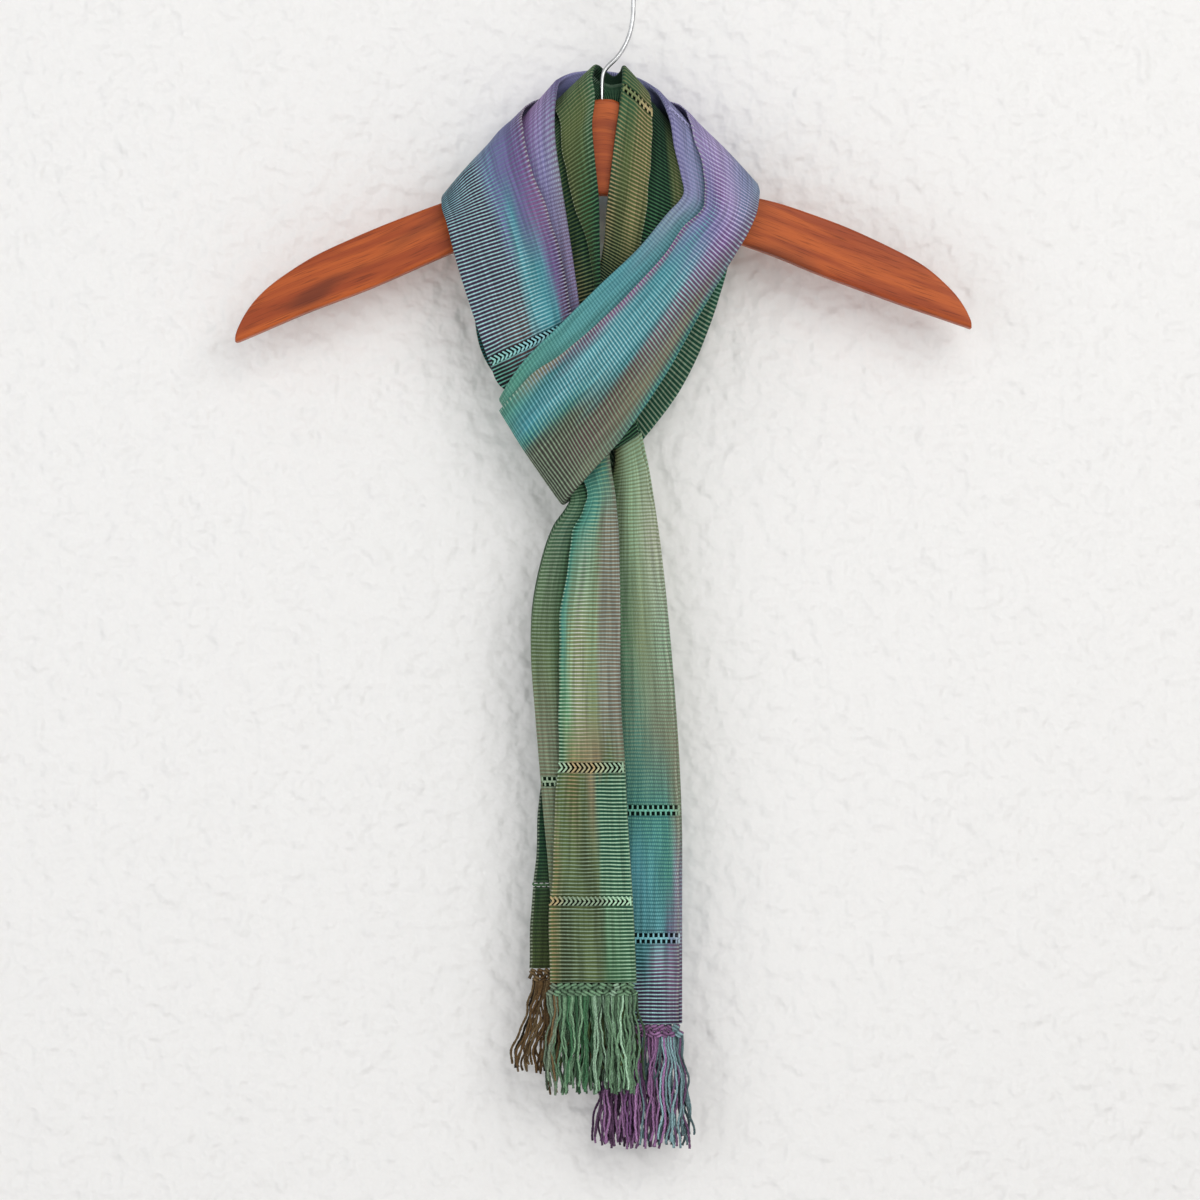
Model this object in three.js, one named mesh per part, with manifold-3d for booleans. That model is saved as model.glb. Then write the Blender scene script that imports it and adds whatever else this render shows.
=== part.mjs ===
// A hand-woven wrap scarf on a wooden clothes hanger.
// The scarf is one length of cloth, folded in three along its length. It lies double behind
// the hanger's neck, and both ends are pulled through the loop, so that two tails hang from
// the knot. Units are millimetres, +Z is up and -Y is the front. The origin is the point
// inside the top of the hook that rests on a rail.
import * as THREE from 'three';
import { mergeVertices } from 'three/addons/utils/BufferGeometryUtils.js';
import Module from 'manifold-3d';

const wasm = await Module();
wasm.setup();

// ---- Driving sizes ----
const cloth = { layerSteps: 3, wall: 1.2, pitch: 2.2, seamGap: 0.3, stepLength: 24, stepTurn: 24 };
const board = { thickness: 14, edge: 2.5, holeDepth: 24 };
const wire = { radius: 1.5, clearance: 0.3, bowRadius: 20.1, tipAngle: 170 };
const fringe = { header: 8, strand: 0.62, tip: 0.4, rings: 4 };

// ---- Small helpers ----
const radians = (degrees) => (degrees * Math.PI) / 180;
const mix = (a, b, t) => a + (b - a) * t;
const UP = new THREE.Vector3(0, 0, 1);

// A repeatable value between -1 and 1 for strand number n.
const scatter = (n, salt) => {
  const wave = Math.sin(n * 12.9898 + salt * 78.233) * 43758.5453;
  return 2 * (wave - Math.floor(wave)) - 1;
};

// ---- The scarf's course ----
// One row for each rib line across the folded cloth: the two edges of the folded band, the
// inner edge (ix, iy, iz) and the outer edge (ox, oy, oz), and how far the two outer layers
// reach. "front" is where the free edge of the upper layer starts, and "back" where that of
// the lower layer ends, both as a share of the width from the inner edge.
const COURSE = ['ix', 'iy', 'iz', 'ox', 'oy', 'oz', 'front', 'back'];

const bandLeft = [
  [24.0, -5.0, -280.0, 8.5, -5.0, -290.5, 0.10, 0.80],
  [20.5, -9.0, -269.5, 6.5, -9.5, -281.5, 0.10, 0.80],
  [14.0, -11.5, -257.0, -7.0, -12.0, -273.0, 0.10, 0.82],
  [4.0, -11.5, -240.5, -33.0, -11.2, -265.0, 0.10, 0.85],
  [-2.0, -11.4, -233.0, -47.5, -10.8, -260.0, 0.09, 0.85],
  [-6.0, -11.6, -227.5, -59.5, -11.0, -253.5, 0.09, 0.86],
  [-11.0, -12.3, -214.0, -65.5, -12.0, -240.0, 0.09, 0.88],
  [-14.0, -14.0, -195.5, -72.5, -14.0, -220.0, 0.09, 0.90],
  [-17.0, -16.5, -174.5, -80.0, -16.5, -197.0, 0.10, 0.90],
  [-20.0, -17.5, -155.0, -86.0, -17.5, -177.0, 0.13, 0.90],
  [-23.5, -18.0, -132.5, -91.0, -18.0, -157.0, 0.19, 0.90],
  [-27.0, -18.0, -107.0, -93.5, -17.5, -149.0, 0.24, 0.90],
  [-27.5, -14.5, -85.0, -93.5, -13.0, -144.0, 0.26, 0.90],
  [-26.5, -3.0, -71.5, -92.0, -1.0, -141.0, 0.25, 0.90],
];
const collarOuter = [
  [-24.0, 9.0, -67.0, -85.0, 11.0, -143.0, 0.20, 0.90],
  [-17.0, 15.0, -63.5, -65.0, 17.0, -145.0, 0.12, 0.90],
  [0.0, 17.5, -62.0, -6.0, 17.5, -135.5, 0.08, 0.88],
  [21.5, 15.5, -66.0, 50.5, 17.0, -139.0, 0.12, 0.86],
  [32.5, 9.0, -72.5, 84.0, 12.0, -139.0, 0.16, 0.84],
];
const bandRight = [
  [38.0, -2.0, -80.0, 92.0, -1.0, -134.0, 0.18, 0.84],
  [42.0, -14.5, -92.5, 94.0, -13.5, -139.5, 0.22, 0.84],
  [44.5, -17.8, -111.5, 94.0, -17.5, -145.0, 0.32, 0.84],
  [48.5, -17.8, -128.5, 92.5, -17.8, -152.5, 0.31, 0.84],
  [50.0, -17.8, -140.0, 87.0, -17.8, -164.5, 0.31, 0.84],
  [40.0, -18.2, -152.0, 76.0, -18.0, -183.0, 0.27, 0.82],
  [23.5, -19.0, -172.0, 60.0, -19.0, -210.0, 0.27, 0.80],
  [-1.0, -20.0, -195.5, 38.5, -20.0, -248.0, 0.24, 0.75],
  [-25.0, -20.0, -219.5, 14.5, -20.0, -283.0, 0.19, 0.70],
  [-45.0, -19.5, -239.5, -5.0, -19.5, -305.0, 0.12, 0.65],
];
const knotTurn = [
  [-56.5, -17.2, -255.5, -15.5, -16.8, -317.0, 0.09, 0.60],
  [-60.5, -7.0, -261.5, -20.5, -7.0, -323.5, 0.08, 0.55],
  [-56.5, 2.5, -256.0, -15.5, 2.5, -320.0, 0.08, 0.50],
  [-47.0, 6.0, -247.0, -5.0, 6.0, -315.5, 0.08, 0.45],
  [-31.0, 6.0, -230.5, 13.0, 6.0, -299.0, 0.08, 0.40],
  [-17.0, 5.0, -215.0, 30.0, 5.5, -279.5, 0.08, 0.35],
  [-7.0, 2.5, -202.0, 45.5, 4.5, -259.0, 0.08, 0.30],
];
const innerRight = [
  [-2.0, -1.0, -190.0, 56.5, 2.0, -239.0, 0.08, 0.30],
  [1.0, -5.5, -178.0, 65.0, -2.0, -218.5, 0.08, 0.30],
  [3.0, -9.5, -165.5, 71.0, -6.0, -200.5, 0.08, 0.30],
  [4.0, -10.8, -151.0, 76.0, -9.5, -182.5, 0.08, 0.30],
  [6.0, -10.8, -133.0, 77.5, -10.8, -167.0, 0.08, 0.31],
  [8.5, -10.8, -111.5, 73.0, -10.8, -150.0, 0.08, 0.33],
  [11.5, -10.8, -89.0, 66.5, -10.6, -133.0, 0.08, 0.35],
  [13.0, -7.5, -73.0, 62.5, -7.0, -122.5, 0.08, 0.33],
];
const collarInner = [
  [13.0, 2.0, -62.0, 61.0, 0.0, -117.5, 0.08, 0.30],
  [12.0, 8.8, -63.5, 57.0, 10.4, -121.0, 0.08, 0.30],
  [8.5, 10.8, -66.0, 3.5, 10.9, -132.0, 0.08, 0.30],
  [3.5, 9.6, -63.5, -55.0, 11.0, -126.0, 0.08, 0.34],
  [-1.0, 4.4, -61.0, -64.0, 1.8, -120.5, 0.08, 0.38],
];
const innerLeft = [
  [-4.0, -5.0, -69.5, -65.5, -7.0, -126.0, 0.08, 0.35],
  [-3.0, -10.4, -80.5, -66.5, -10.7, -134.0, 0.08, 0.35],
  [-5.0, -10.8, -97.0, -71.0, -10.8, -149.0, 0.08, 0.30],
  [-3.5, -10.8, -117.5, -72.5, -10.8, -163.0, 0.08, 0.25],
  [-1.0, -10.8, -142.0, -73.0, -10.8, -179.0, 0.08, 0.21],
  [-0.5, -10.5, -165.5, -74.5, -10.5, -195.5, 0.08, 0.10],
  [0.0, -9.0, -186.5, -74.5, -9.0, -212.5, 0.08, 0.06],
  [0.0, -6.5, -204.5, -72.0, -6.5, -228.5, 0.08, 0.06],
  [0.0, -4.5, -222.5, -66.5, -4.5, -241.0, 0.08, 0.10],
  [0.5, -4.0, -239.0, -57.5, -4.0, -253.0, 0.08, 0.20],
  [2.5, -4.0, -257.0, -47.0, -4.0, -269.0, 0.08, 0.30],
  [3.5, -4.2, -272.5, -37.0, -4.5, -286.0, 0.08, 0.45],
  [5.0, -6.0, -289.0, -29.0, -6.5, -303.0, 0.08, 0.60],
];

// The tails have a fourth layer. Their rows run downwards, so their upper layer lies at the
// rear. "front" and "back" are the two free edges.
const tailLeft = [
  [5.0, -7.0, -290.5, -28.5, -7.5, -304.5, 0.90, 0.60],
  [6.5, -8.5, -303.5, -21.5, -9.0, -313.0, 0.90, 0.60],
  [9.0, -10.0, -318.5, -17.5, -10.0, -321.5, 0.90, 0.62],
  [10.0, -10.0, -329.0, -20.5, -10.0, -329.0, 0.90, 0.68],
  [11.0, -9.8, -339.5, -27.5, -9.8, -339.5, 0.90, 0.70],
  [11.5, -9.5, -357.5, -34.0, -9.5, -357.5, 0.90, 0.66],
  [12.0, -9.0, -387.5, -40.0, -9.0, -387.5, 0.90, 0.68],
  [12.0, -9.0, -417.5, -41.0, -9.0, -417.5, 0.92, 0.69],
  [12.5, -9.0, -447.5, -39.0, -9.0, -447.5, 0.94, 0.72],
  [14.5, -9.0, -477.5, -36.5, -9.0, -477.5, 0.97, 0.77],
  [16.0, -9.0, -507.5, -34.0, -9.0, -507.5, 1.05, 0.86],
  [18.0, -9.0, -540.5, -31.0, -9.0, -540.5, 1.15, 0.94],
  [20.0, -9.0, -573.5, -29.0, -9.0, -573.5, 1.25, 1.03],
  [21.5, -9.0, -610.0, -27.5, -9.0, -610.0, 1.30, 1.05],
];
const tailRight = [
  [24.5, -4.6, -281.5, 9.0, -4.4, -291.5, 0.10, 0.20],
  [26.5, -3.5, -290.5, 9.0, -3.0, -299.0, 0.10, 0.20],
  [29.5, 0.0, -305.0, 7.0, 0.0, -309.5, 0.09, 0.20],
  [32.5, 3.0, -323.5, 4.0, 3.0, -324.5, 0.08, 0.20],
  [35.5, 3.0, -344.0, 2.0, 3.0, -345.5, 0.08, 0.20],
  [38.5, 3.0, -369.5, 0.5, 3.0, -369.5, 0.08, 0.20],
  [42.0, 3.0, -405.5, 0.0, 3.0, -405.5, 0.08, 0.20],
  [45.0, 3.0, -441.5, 0.0, 3.0, -441.5, 0.08, 0.20],
  [47.5, 3.0, -480.5, 0.0, 3.0, -480.5, 0.08, 0.20],
  [49.0, 3.0, -522.5, 0.0, 3.0, -522.5, 0.08, 0.20],
  [49.0, 3.0, -561.5, 0.0, 3.0, -561.5, 0.08, 0.20],
  [49.0, 3.0, -597.5, 0.0, 3.0, -597.5, 0.08, 0.20],
  [49.0, 3.0, -636.0, 0.0, 3.0, -636.0, 0.08, 0.20],
];

// Where each layer of the fold starts and ends across the band, from the upper layer (level
// +1) downwards, as shares of the width from the inner edge.
const foldedInThree = (row) => ({ level: 1, turns: [row.front, 1, 0, row.back] });
const leftTailFold = (row) => ({ level: 2, turns: [row.front, 0.08, 1, 0, row.back] });
const rightTailFold = (row) => ({ level: 2, turns: [row.back, 1, 0, 1, row.front] });

// ---- Course curves ----

// A row of a course table as an object with its column names.
const named = (row) => Object.fromEntries(COURSE.map((name, i) => [name, row[i]]));

const innerPoint = (row) => new THREE.Vector3(row.ix, row.iy, row.iz);
const outerPoint = (row) => new THREE.Vector3(row.ox, row.oy, row.oz);
const middlePoint = (row) => innerPoint(row).add(outerPoint(row)).multiplyScalar(0.5);

// A smooth curve through the rows of a course, spaced by the way that the cloth's middle
// and its faster edge travel. row(u) gives every column at u rows from the start.
function smoothCourse(table) {
  const rows = table.map(named);
  const knots = [0];
  for (let i = 1; i < rows.length; i += 1) {
    const inner = innerPoint(rows[i]).distanceTo(innerPoint(rows[i - 1]));
    const outer = outerPoint(rows[i]).distanceTo(outerPoint(rows[i - 1]));
    knots.push(knots[i - 1] + Math.max((inner + outer) / 2, 1));
  }
  const slope = (name, i) => {
    const a = Math.max(i - 1, 0);
    const b = Math.min(i + 1, rows.length - 1);
    return (rows[b][name] - rows[a][name]) / (knots[b] - knots[a]);
  };
  const column = (name, i, t) => {
    const span = knots[i + 1] - knots[i];
    const t2 = t * t;
    const t3 = t2 * t;
    return (2 * t3 - 3 * t2 + 1) * rows[i][name] + (t3 - 2 * t2 + t) * span * slope(name, i)
      + (3 * t2 - 2 * t3) * rows[i + 1][name] + (t3 - t2) * span * slope(name, i + 1);
  };
  const row = (u) => {
    const i = Math.min(Math.max(Math.floor(u), 0), rows.length - 2);
    return Object.fromEntries(COURSE.map((name) => [name, column(name, i, u - i)]));
  };
  return { row, last: rows.length - 1 };
}

// The frame of the section at u: its inner edge, the direction and width across, and the
// cloth's outward normal at a share w of the width.
function sectionFrame(course, u) {
  const step = 0.04;
  const before = course.row(Math.max(u - step, 0));
  const after = course.row(Math.min(u + step, course.last));
  const row = course.row(u);
  const origin = innerPoint(row);
  const across = outerPoint(row).sub(origin);
  const width = across.length();
  across.divideScalar(width);
  const innerTravel = innerPoint(after).sub(innerPoint(before));
  const outerTravel = outerPoint(after).sub(outerPoint(before));
  const travel = middlePoint(after).sub(middlePoint(before));
  const normal = (w) => {
    const along = innerTravel.clone().lerp(outerTravel, Math.min(Math.max(w, 0), 1)).add(travel);
    return along.cross(across).normalize();
  };
  return { row, origin, across, width, normal, travel: travel.normalize() };
}

// ---- Section of the folded wall ----

// The middle line of the folded cloth as points [across, level] in millimetres. Each turn is
// a small half round between two layers.
function foldLine(fold, width) {
  const { turns, level } = fold;
  const radius = cloth.pitch / 2;
  const line = [];
  for (let i = 0; i + 1 < turns.length; i += 1) {
    const height = (level - i) * cloth.pitch;
    const heading = Math.sign(turns[i + 1] - turns[i]);
    const start = turns[i] * width + (i > 0 ? radius * heading : 0);
    const end = turns[i + 1] * width - (i + 2 < turns.length ? radius * heading : 0);
    for (let j = 0; j <= cloth.layerSteps; j += 1) {
      line.push([mix(start, end, j / cloth.layerSteps), height]);
    }
    if (i + 2 < turns.length) line.push([turns[i + 1] * width, height - radius]);
  }
  return line;
}

// The closed outline of a wall round that middle line.
function wallOutline(line) {
  const half = cloth.wall / 2;
  const direction = (a, b) => {
    const length = Math.hypot(b[0] - a[0], b[1] - a[1]);
    return [(b[0] - a[0]) / length, (b[1] - a[1]) / length];
  };
  const sides = line.map((point, i) => {
    const a = direction(line[Math.max(i - 1, 0)], line[Math.max(i, 1)]);
    const b = direction(line[Math.min(i, line.length - 2)], line[Math.min(i + 1, line.length - 1)]);
    const length = Math.hypot(a[0] + b[0], a[1] + b[1]);
    return [-(a[1] + b[1]) / length, (a[0] + b[0]) / length];
  });
  const left = line.map((point, i) => [point[0] + sides[i][0] * half, point[1] + sides[i][1] * half]);
  const right = line.map((point, i) => [point[0] - sides[i][0] * half, point[1] - sides[i][1] * half]);
  return [...left, ...right.reverse()];
}

// ---- Solids from rings ----

// A closed solid through rings of equal length, capped at both ends.
function solidFromRings(rings, outline) {
  const count = rings[0].length;
  const positions = rings.flat().flatMap((point) => [point.x, point.y, point.z]);
  const index = [];
  for (let i = 0; i + 1 < rings.length; i += 1) {
    for (let j = 0; j < count; j += 1) {
      const a = i * count + j;
      const b = i * count + ((j + 1) % count);
      index.push(a, b, b + count, a, b + count, a + count);
    }
  }
  const contour = outline.map(([x, y]) => new THREE.Vector2(x, y));
  const clockwise = THREE.ShapeUtils.isClockWise(contour);
  const end = (rings.length - 1) * count;
  for (const [a, b, c] of THREE.ShapeUtils.triangulateShape(contour, [])) {
    const [p, q] = clockwise ? [b, c] : [c, b];
    index.push(a, p, q, a + end, q + end, p + end);
  }
  const geometry = new THREE.BufferGeometry();
  geometry.setAttribute('position', new THREE.Float32BufferAttribute(positions, 3));
  geometry.setIndex(index);
  return faceOutwards(geometry);
}

// Turns every face of a closed solid outwards.
function faceOutwards(geometry) {
  const position = geometry.attributes.position;
  const index = geometry.index.array;
  const corner = (i) => new THREE.Vector3().fromBufferAttribute(position, index[i]);
  let volume = 0;
  for (let i = 0; i < index.length; i += 3) {
    volume += corner(i).dot(corner(i + 1).cross(corner(i + 2)));
  }
  if (volume < 0) {
    const turned = [];
    for (let i = 0; i < index.length; i += 3) turned.push(index[i], index[i + 2], index[i + 1]);
    geometry.setIndex(turned);
  }
  geometry.computeVertexNormals();
  return geometry;
}

// One stretch of folded cloth between the places "from" and "to" of a course, with half a
// seam gap left free at each end. The layers above the middle one end higher by "hemRise".
function clothStretch(course, from, to, fold, hemRise = 0) {
  const places = [from];
  for (let i = Math.floor(from); i < to; i += 1) {
    const start = Math.max(i, from);
    const end = Math.min(i + 1, to);
    const a = sectionFrame(course, start);
    const b = sectionFrame(course, end);
    const inner = a.origin.distanceTo(b.origin);
    const outer = outerPoint(a.row).distanceTo(outerPoint(b.row));
    const turn = THREE.MathUtils.radToDeg(a.normal(0.5).angleTo(b.normal(0.5)));
    const steps = Math.ceil(Math.max(inner / cloth.stepLength, outer / cloth.stepLength, turn / cloth.stepTurn));
    for (let j = 1; j <= steps; j += 1) places.push(mix(start, end, j / steps));
  }
  let outline = [];
  const rings = places.map((u, i) => {
    const frame = sectionFrame(course, u);
    const endShift = i === 0 ? cloth.seamGap / 2 : (i === places.length - 1 ? -cloth.seamGap / 2 : 0);
    const shift = frame.travel.clone().multiplyScalar(endShift);
    const section = wallOutline(foldLine(fold(frame.row), frame.width));
    if (i === 0) outline = section;
    const rise = hemRise * (i / (places.length - 1));
    const lift = (level) => THREE.MathUtils.smoothstep(level / cloth.pitch, 0.28, 0.48);
    return section.map(([across, level]) => frame.origin.clone()
      .addScaledVector(frame.across, across)
      .addScaledVector(frame.normal(across / frame.width), level)
      .addScaledVector(UP, rise * lift(level))
      .add(shift));
  });
  return solidFromRings(rings, outline);
}

// ---- Joining and cutting ----

const toManifold = (geometry) => {
  const bare = geometry.clone();
  bare.deleteAttribute('normal');
  bare.deleteAttribute('uv');
  const merged = mergeVertices(bare, 1e-4);
  const triVerts = Uint32Array.from(merged.index.array);
  const vertProperties = Float32Array.from(merged.attributes.position.array);
  return new wasm.Manifold(new wasm.Mesh({ numProp: 3, vertProperties, triVerts }));
};

const fromManifold = (solid) => {
  const mesh = solid.getMesh();
  const geometry = new THREE.BufferGeometry();
  geometry.setAttribute('position', new THREE.BufferAttribute(mesh.vertProperties, 3));
  geometry.setIndex(new THREE.BufferAttribute(mesh.triVerts, 1));
  geometry.computeVertexNormals();
  return geometry;
};

// ---- Hanger ----

// The board's upright sections from the left tip to the right one: x, upper and lower edge.
// The arms droop towards pointed tips, and the neck stands up in the middle.
const boardSections = [
  [-219.0, -224.5, -227.8], [-215.5, -215.0, -226.5], [-209.0, -204.0, -223.8],
  [-198.0, -193.0, -219.0], [-186.5, -185.0, -214.0], [-171.0, -175.0, -207.5],
  [-153.0, -167.0, -201.0], [-135.0, -159.0, -194.0], [-117.0, -152.0, -186.0],
  [-93.5, -143.0, -175.5], [-72.0, -136.5, -166.5], [-48.0, -125.0, -156.0],
  [-27.0, -108.5, -147.3], [-12.0, -89.0, -141.5], [-5.0, -81.5, -139.3],
  [4.0, -81.5, -138.5], [12.5, -81.5, -141.3], [29.0, -107.5, -147.6],
  [49.0, -124.0, -155.4], [73.0, -136.5, -164.2], [93.0, -140.5, -171.5],
  [107.0, -143.5, -176.3], [125.5, -150.0, -184.5], [144.0, -156.5, -191.5],
  [162.0, -164.5, -198.0], [180.5, -173.5, -204.8], [194.5, -181.0, -209.5],
  [206.5, -191.5, -213.6], [215.5, -201.0, -216.8], [221.0, -211.0, -218.5],
  [222.8, -216.5, -219.5],
];

// Corner of a section with its edge eased over: signs pick the corner, and the eased edge
// has three points.
function easedCorner(halfDepth, halfHeight, signY, signZ, ease) {
  const points = [0, 45, 90].map((angle) => [
    signY * (halfDepth - ease + ease * Math.sin(radians(angle))),
    signZ * (halfHeight - ease + ease * Math.cos(radians(angle))),
  ]);
  return signY * signZ > 0 ? points : points.reverse();
}

// The board is shaped from flat stock with eased edges, and drilled from the top.
function hangerBody() {
  let outline = [];
  const rings = boardSections.map(([x, top, bottom]) => {
    const halfHeight = (top - bottom) / 2;
    const halfDepth = board.thickness / 2;
    const ease = Math.min(board.edge, halfHeight * 0.8);
    outline = [[1, 1], [1, -1], [-1, -1], [-1, 1]].flatMap(
      ([signY, signZ]) => easedCorner(halfDepth, halfHeight, signY, signZ, ease),
    );
    return outline.map(([y, z]) => new THREE.Vector3(x, y, (top + bottom) / 2 + z));
  });
  const stock = solidFromRings(rings, outline);
  const neckTop = Math.max(...boardSections.map((section) => section[1]));
  const bore = wire.radius + wire.clearance;
  const drill = new THREE.CylinderGeometry(bore, bore, 2 * board.holeDepth, 12);
  drill.rotateX(Math.PI / 2);
  drill.translate(hookFoot.x, 0, neckTop);
  return fromManifold(toManifold(stock).subtract(toManifold(drill)));
}

// ---- Hook ----

// The wire rises from the board, leans to the right and bends over the rail in a round bow.
const hookFoot = new THREE.Vector3(1, 0, -104.5);
const hookStem = [[1, -92], [1, -80], [1, -72], [1.5, -66.5], [3.2, -62.8], [6, -60], [9.5, -57],
  [13, -52.6], [16.2, -46.8], [18.8, -39.5], [20.1, -30]];

function hangerHook() {
  const bowCentre = wire.radius - wire.bowRadius;
  const route = [hookFoot, ...hookStem.map(([x, z]) => new THREE.Vector3(x, 0, z))];
  for (let angle = 0; angle < wire.tipAngle; angle += 18) {
    const x = wire.bowRadius * Math.cos(radians(angle));
    const z = bowCentre + wire.bowRadius * Math.sin(radians(angle));
    route.push(new THREE.Vector3(x, 0, z));
  }
  const section = new THREE.Shape();
  section.absarc(0, 0, wire.radius, 0, 2 * Math.PI);
  return new THREE.ExtrudeGeometry(section, {
    extrudePath: new THREE.CatmullRomCurve3(route), steps: 46, curveSegments: 4,
  });
}

// ---- Fringe ----

// One slim three-sided strand from "root" down to "tip", with a soft bend.
function strand(root, tip, bend) {
  const rings = [];
  const outline = [0, 1, 2].map((k) => [Math.cos(radians(120 * k)), Math.sin(radians(120 * k))]);
  for (let i = 0; i < fringe.rings; i += 1) {
    const t = i / (fringe.rings - 1);
    const centre = root.clone().lerp(tip, t).addScaledVector(bend, Math.sin(Math.PI * t));
    const radius = mix(fringe.strand, fringe.tip, t);
    rings.push(outline.map(([x, y]) => new THREE.Vector3(centre.x + x * radius, centre.y + y * radius, centre.z)));
  }
  return solidFromRings(rings, outline);
}

// A knotted header strip under a cloth edge from "left" to "right", with its strands, which
// hang about "length" below the edge. They spread to "spread" times the strip's width, sway
// sideways by "lean" and vary.
function fringeRow({ left, right, y, top, depth, length, count, spread, lean, salt, bulge }) {
  const width = right - left;
  const strip = new THREE.BoxGeometry(width, depth, fringe.header);
  strip.translate((left + right) / 2, y, top - fringe.header / 2);
  let solid = toManifold(strip);
  const inset = fringe.strand + 0.3;
  for (let i = 0; i < count; i += 1) {
    const share = i / (count - 1);
    const x = mix(left + inset, right - inset, share);
    const centre = (left + right) / 2 + lean;
    const tipX = centre + (x - (left + right) / 2) * spread + 0.35 * scatter(i, salt);
    const side = i % 2 === 0 ? 0.55 : -0.55;
    const drop = length - fringe.header + 5 * scatter(i, salt + 1);
    const root = new THREE.Vector3(x, y + side, top - fringe.header + 1);
    const tip = new THREE.Vector3(tipX, y + side * 2.2 + 0.5 * scatter(i, salt + 2), top - fringe.header - drop);
    const bend = new THREE.Vector3(bulge * (share - 0.5) * 2 + 0.3 * scatter(i, salt + 3), side, 0);
    solid = solid.add(toManifold(strand(root, tip, bend)));
  }
  return fromManifold(solid);
}

// ---- Assembly ----

const finish = {
  wood: { color: 0xb0582a, roughness: 0.5, metalness: 0 },
  steel: { color: 0xc9cdd0, roughness: 0.25, metalness: 1 },
  teal: { color: 0x4d8f93, roughness: 0.85, metalness: 0 },
  lavender: { color: 0x7a7fa8, roughness: 0.85, metalness: 0 },
  green: { color: 0x5e7f5f, roughness: 0.85, metalness: 0 },
  deepGreen: { color: 0x3f6a50, roughness: 0.85, metalness: 0 },
  brown: { color: 0x7a6647, roughness: 0.9, metalness: 0 },
  purple: { color: 0x75578c, roughness: 0.9, metalness: 0 },
};

const scarfOnHanger = new THREE.Group();

function addPiece(name, geometry, look) {
  const mesh = new THREE.Mesh(geometry, new THREE.MeshStandardMaterial(look));
  mesh.name = name;
  scarfOnHanger.add(mesh);
}

addPiece('hanger_body', hangerBody(), finish.wood);
addPiece('hanger_hook', hangerHook(), finish.steel);

// The loop is one course. A stretch ends half way between its own rows and its neighbour's.
const stretches = [
  { name: 'scarf_band_left', rows: bandLeft, look: finish.teal },
  { name: 'scarf_collar_outer', rows: collarOuter, look: finish.lavender },
  { name: 'scarf_band_right', rows: bandRight, look: finish.teal },
  { name: 'scarf_knot_turn', rows: knotTurn, look: finish.deepGreen },
  { name: 'scarf_inner_right', rows: innerRight, look: finish.green },
  { name: 'scarf_collar_inner', rows: collarInner, look: finish.deepGreen },
  { name: 'scarf_inner_left', rows: innerLeft, look: finish.green },
];
const loop = smoothCourse(stretches.flatMap((stretch) => stretch.rows));
let reached = 0;
for (const { name, rows, look } of stretches) {
  const from = Math.max(reached - 0.5, 0);
  reached += rows.length;
  const to = Math.min(reached - 0.5, loop.last);
  addPiece(name, clothStretch(loop, from, to, foldedInThree), look);
}

const rearHemRise = 8;
const leftTail = smoothCourse(tailLeft);
const rightTail = smoothCourse(tailRight);
addPiece('scarf_tail_left', clothStretch(leftTail, 0, leftTail.last, leftTailFold, rearHemRise), finish.green);
addPiece('scarf_tail_right', clothStretch(rightTail, 0, rightTail.last, rightTailFold), finish.deepGreen);

addPiece('fringe_left_front', fringeRow({
  left: -31, right: 22, y: -10.2, top: -610.3, depth: 3, length: 62,
  count: 34, spread: 1.05, lean: 1.5, salt: 1, bulge: 0,
}), finish.green);
addPiece('fringe_left_back', fringeRow({
  left: -43, right: 18, y: -5.7, top: -602.3, depth: 3, length: 58,
  count: 36, spread: 1.12, lean: -4, salt: 2, bulge: -1,
}), finish.brown);
addPiece('fringe_right', fringeRow({
  left: 0, right: 49, y: 4.1, top: -636.3, depth: 5, length: 71,
  count: 32, spread: 1.1, lean: 0, salt: 3, bulge: 0,
}), finish.purple);

export default scarfOnHanger;
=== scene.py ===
"""A wrap scarf on a wooden clothes hanger: the shape and finish of every visible piece.

The scarf is one hand-woven length, folded in three along its length, laid double behind the
hanger's neck and pulled through its own loop. Tables are in millimetres and meshes in metres.
-Y is the front and +Z is up.
"""

from __future__ import annotations

import logging
import math
import random
from dataclasses import dataclass, field
from enum import Enum
from typing import Callable, Iterator, Sequence

import bmesh
import bpy
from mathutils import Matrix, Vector, noise


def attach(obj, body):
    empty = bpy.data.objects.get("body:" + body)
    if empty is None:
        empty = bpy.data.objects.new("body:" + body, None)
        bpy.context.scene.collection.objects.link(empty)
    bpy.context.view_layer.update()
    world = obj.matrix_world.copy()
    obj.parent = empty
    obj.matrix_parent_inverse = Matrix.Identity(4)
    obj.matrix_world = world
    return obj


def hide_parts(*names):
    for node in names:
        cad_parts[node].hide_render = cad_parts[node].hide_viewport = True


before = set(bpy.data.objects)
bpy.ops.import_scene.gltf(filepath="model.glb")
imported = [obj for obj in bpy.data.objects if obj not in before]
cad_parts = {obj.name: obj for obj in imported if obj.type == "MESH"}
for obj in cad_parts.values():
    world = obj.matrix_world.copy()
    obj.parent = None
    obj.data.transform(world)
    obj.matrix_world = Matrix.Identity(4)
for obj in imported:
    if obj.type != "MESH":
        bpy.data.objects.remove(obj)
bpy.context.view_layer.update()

LOG = logging.getLogger("scarf")
MM = 0.001
UP = Vector((0.0, 0.0, 1.0))
FRONT = Vector((0.0, -1.0, 0.0))

Colour = tuple[float, float, float]


# ---------------------------------------------------------------------------------------
# Small helpers
# ---------------------------------------------------------------------------------------


def mix(a: float, b: float, t: float) -> float:
    """Returns the value a share t of the way from a to b."""
    return a + (b - a) * t


def clamp(value: float, low: float = 0.0, high: float = 1.0) -> float:
    """Returns value kept between low and high."""
    return max(low, min(high, value))


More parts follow.
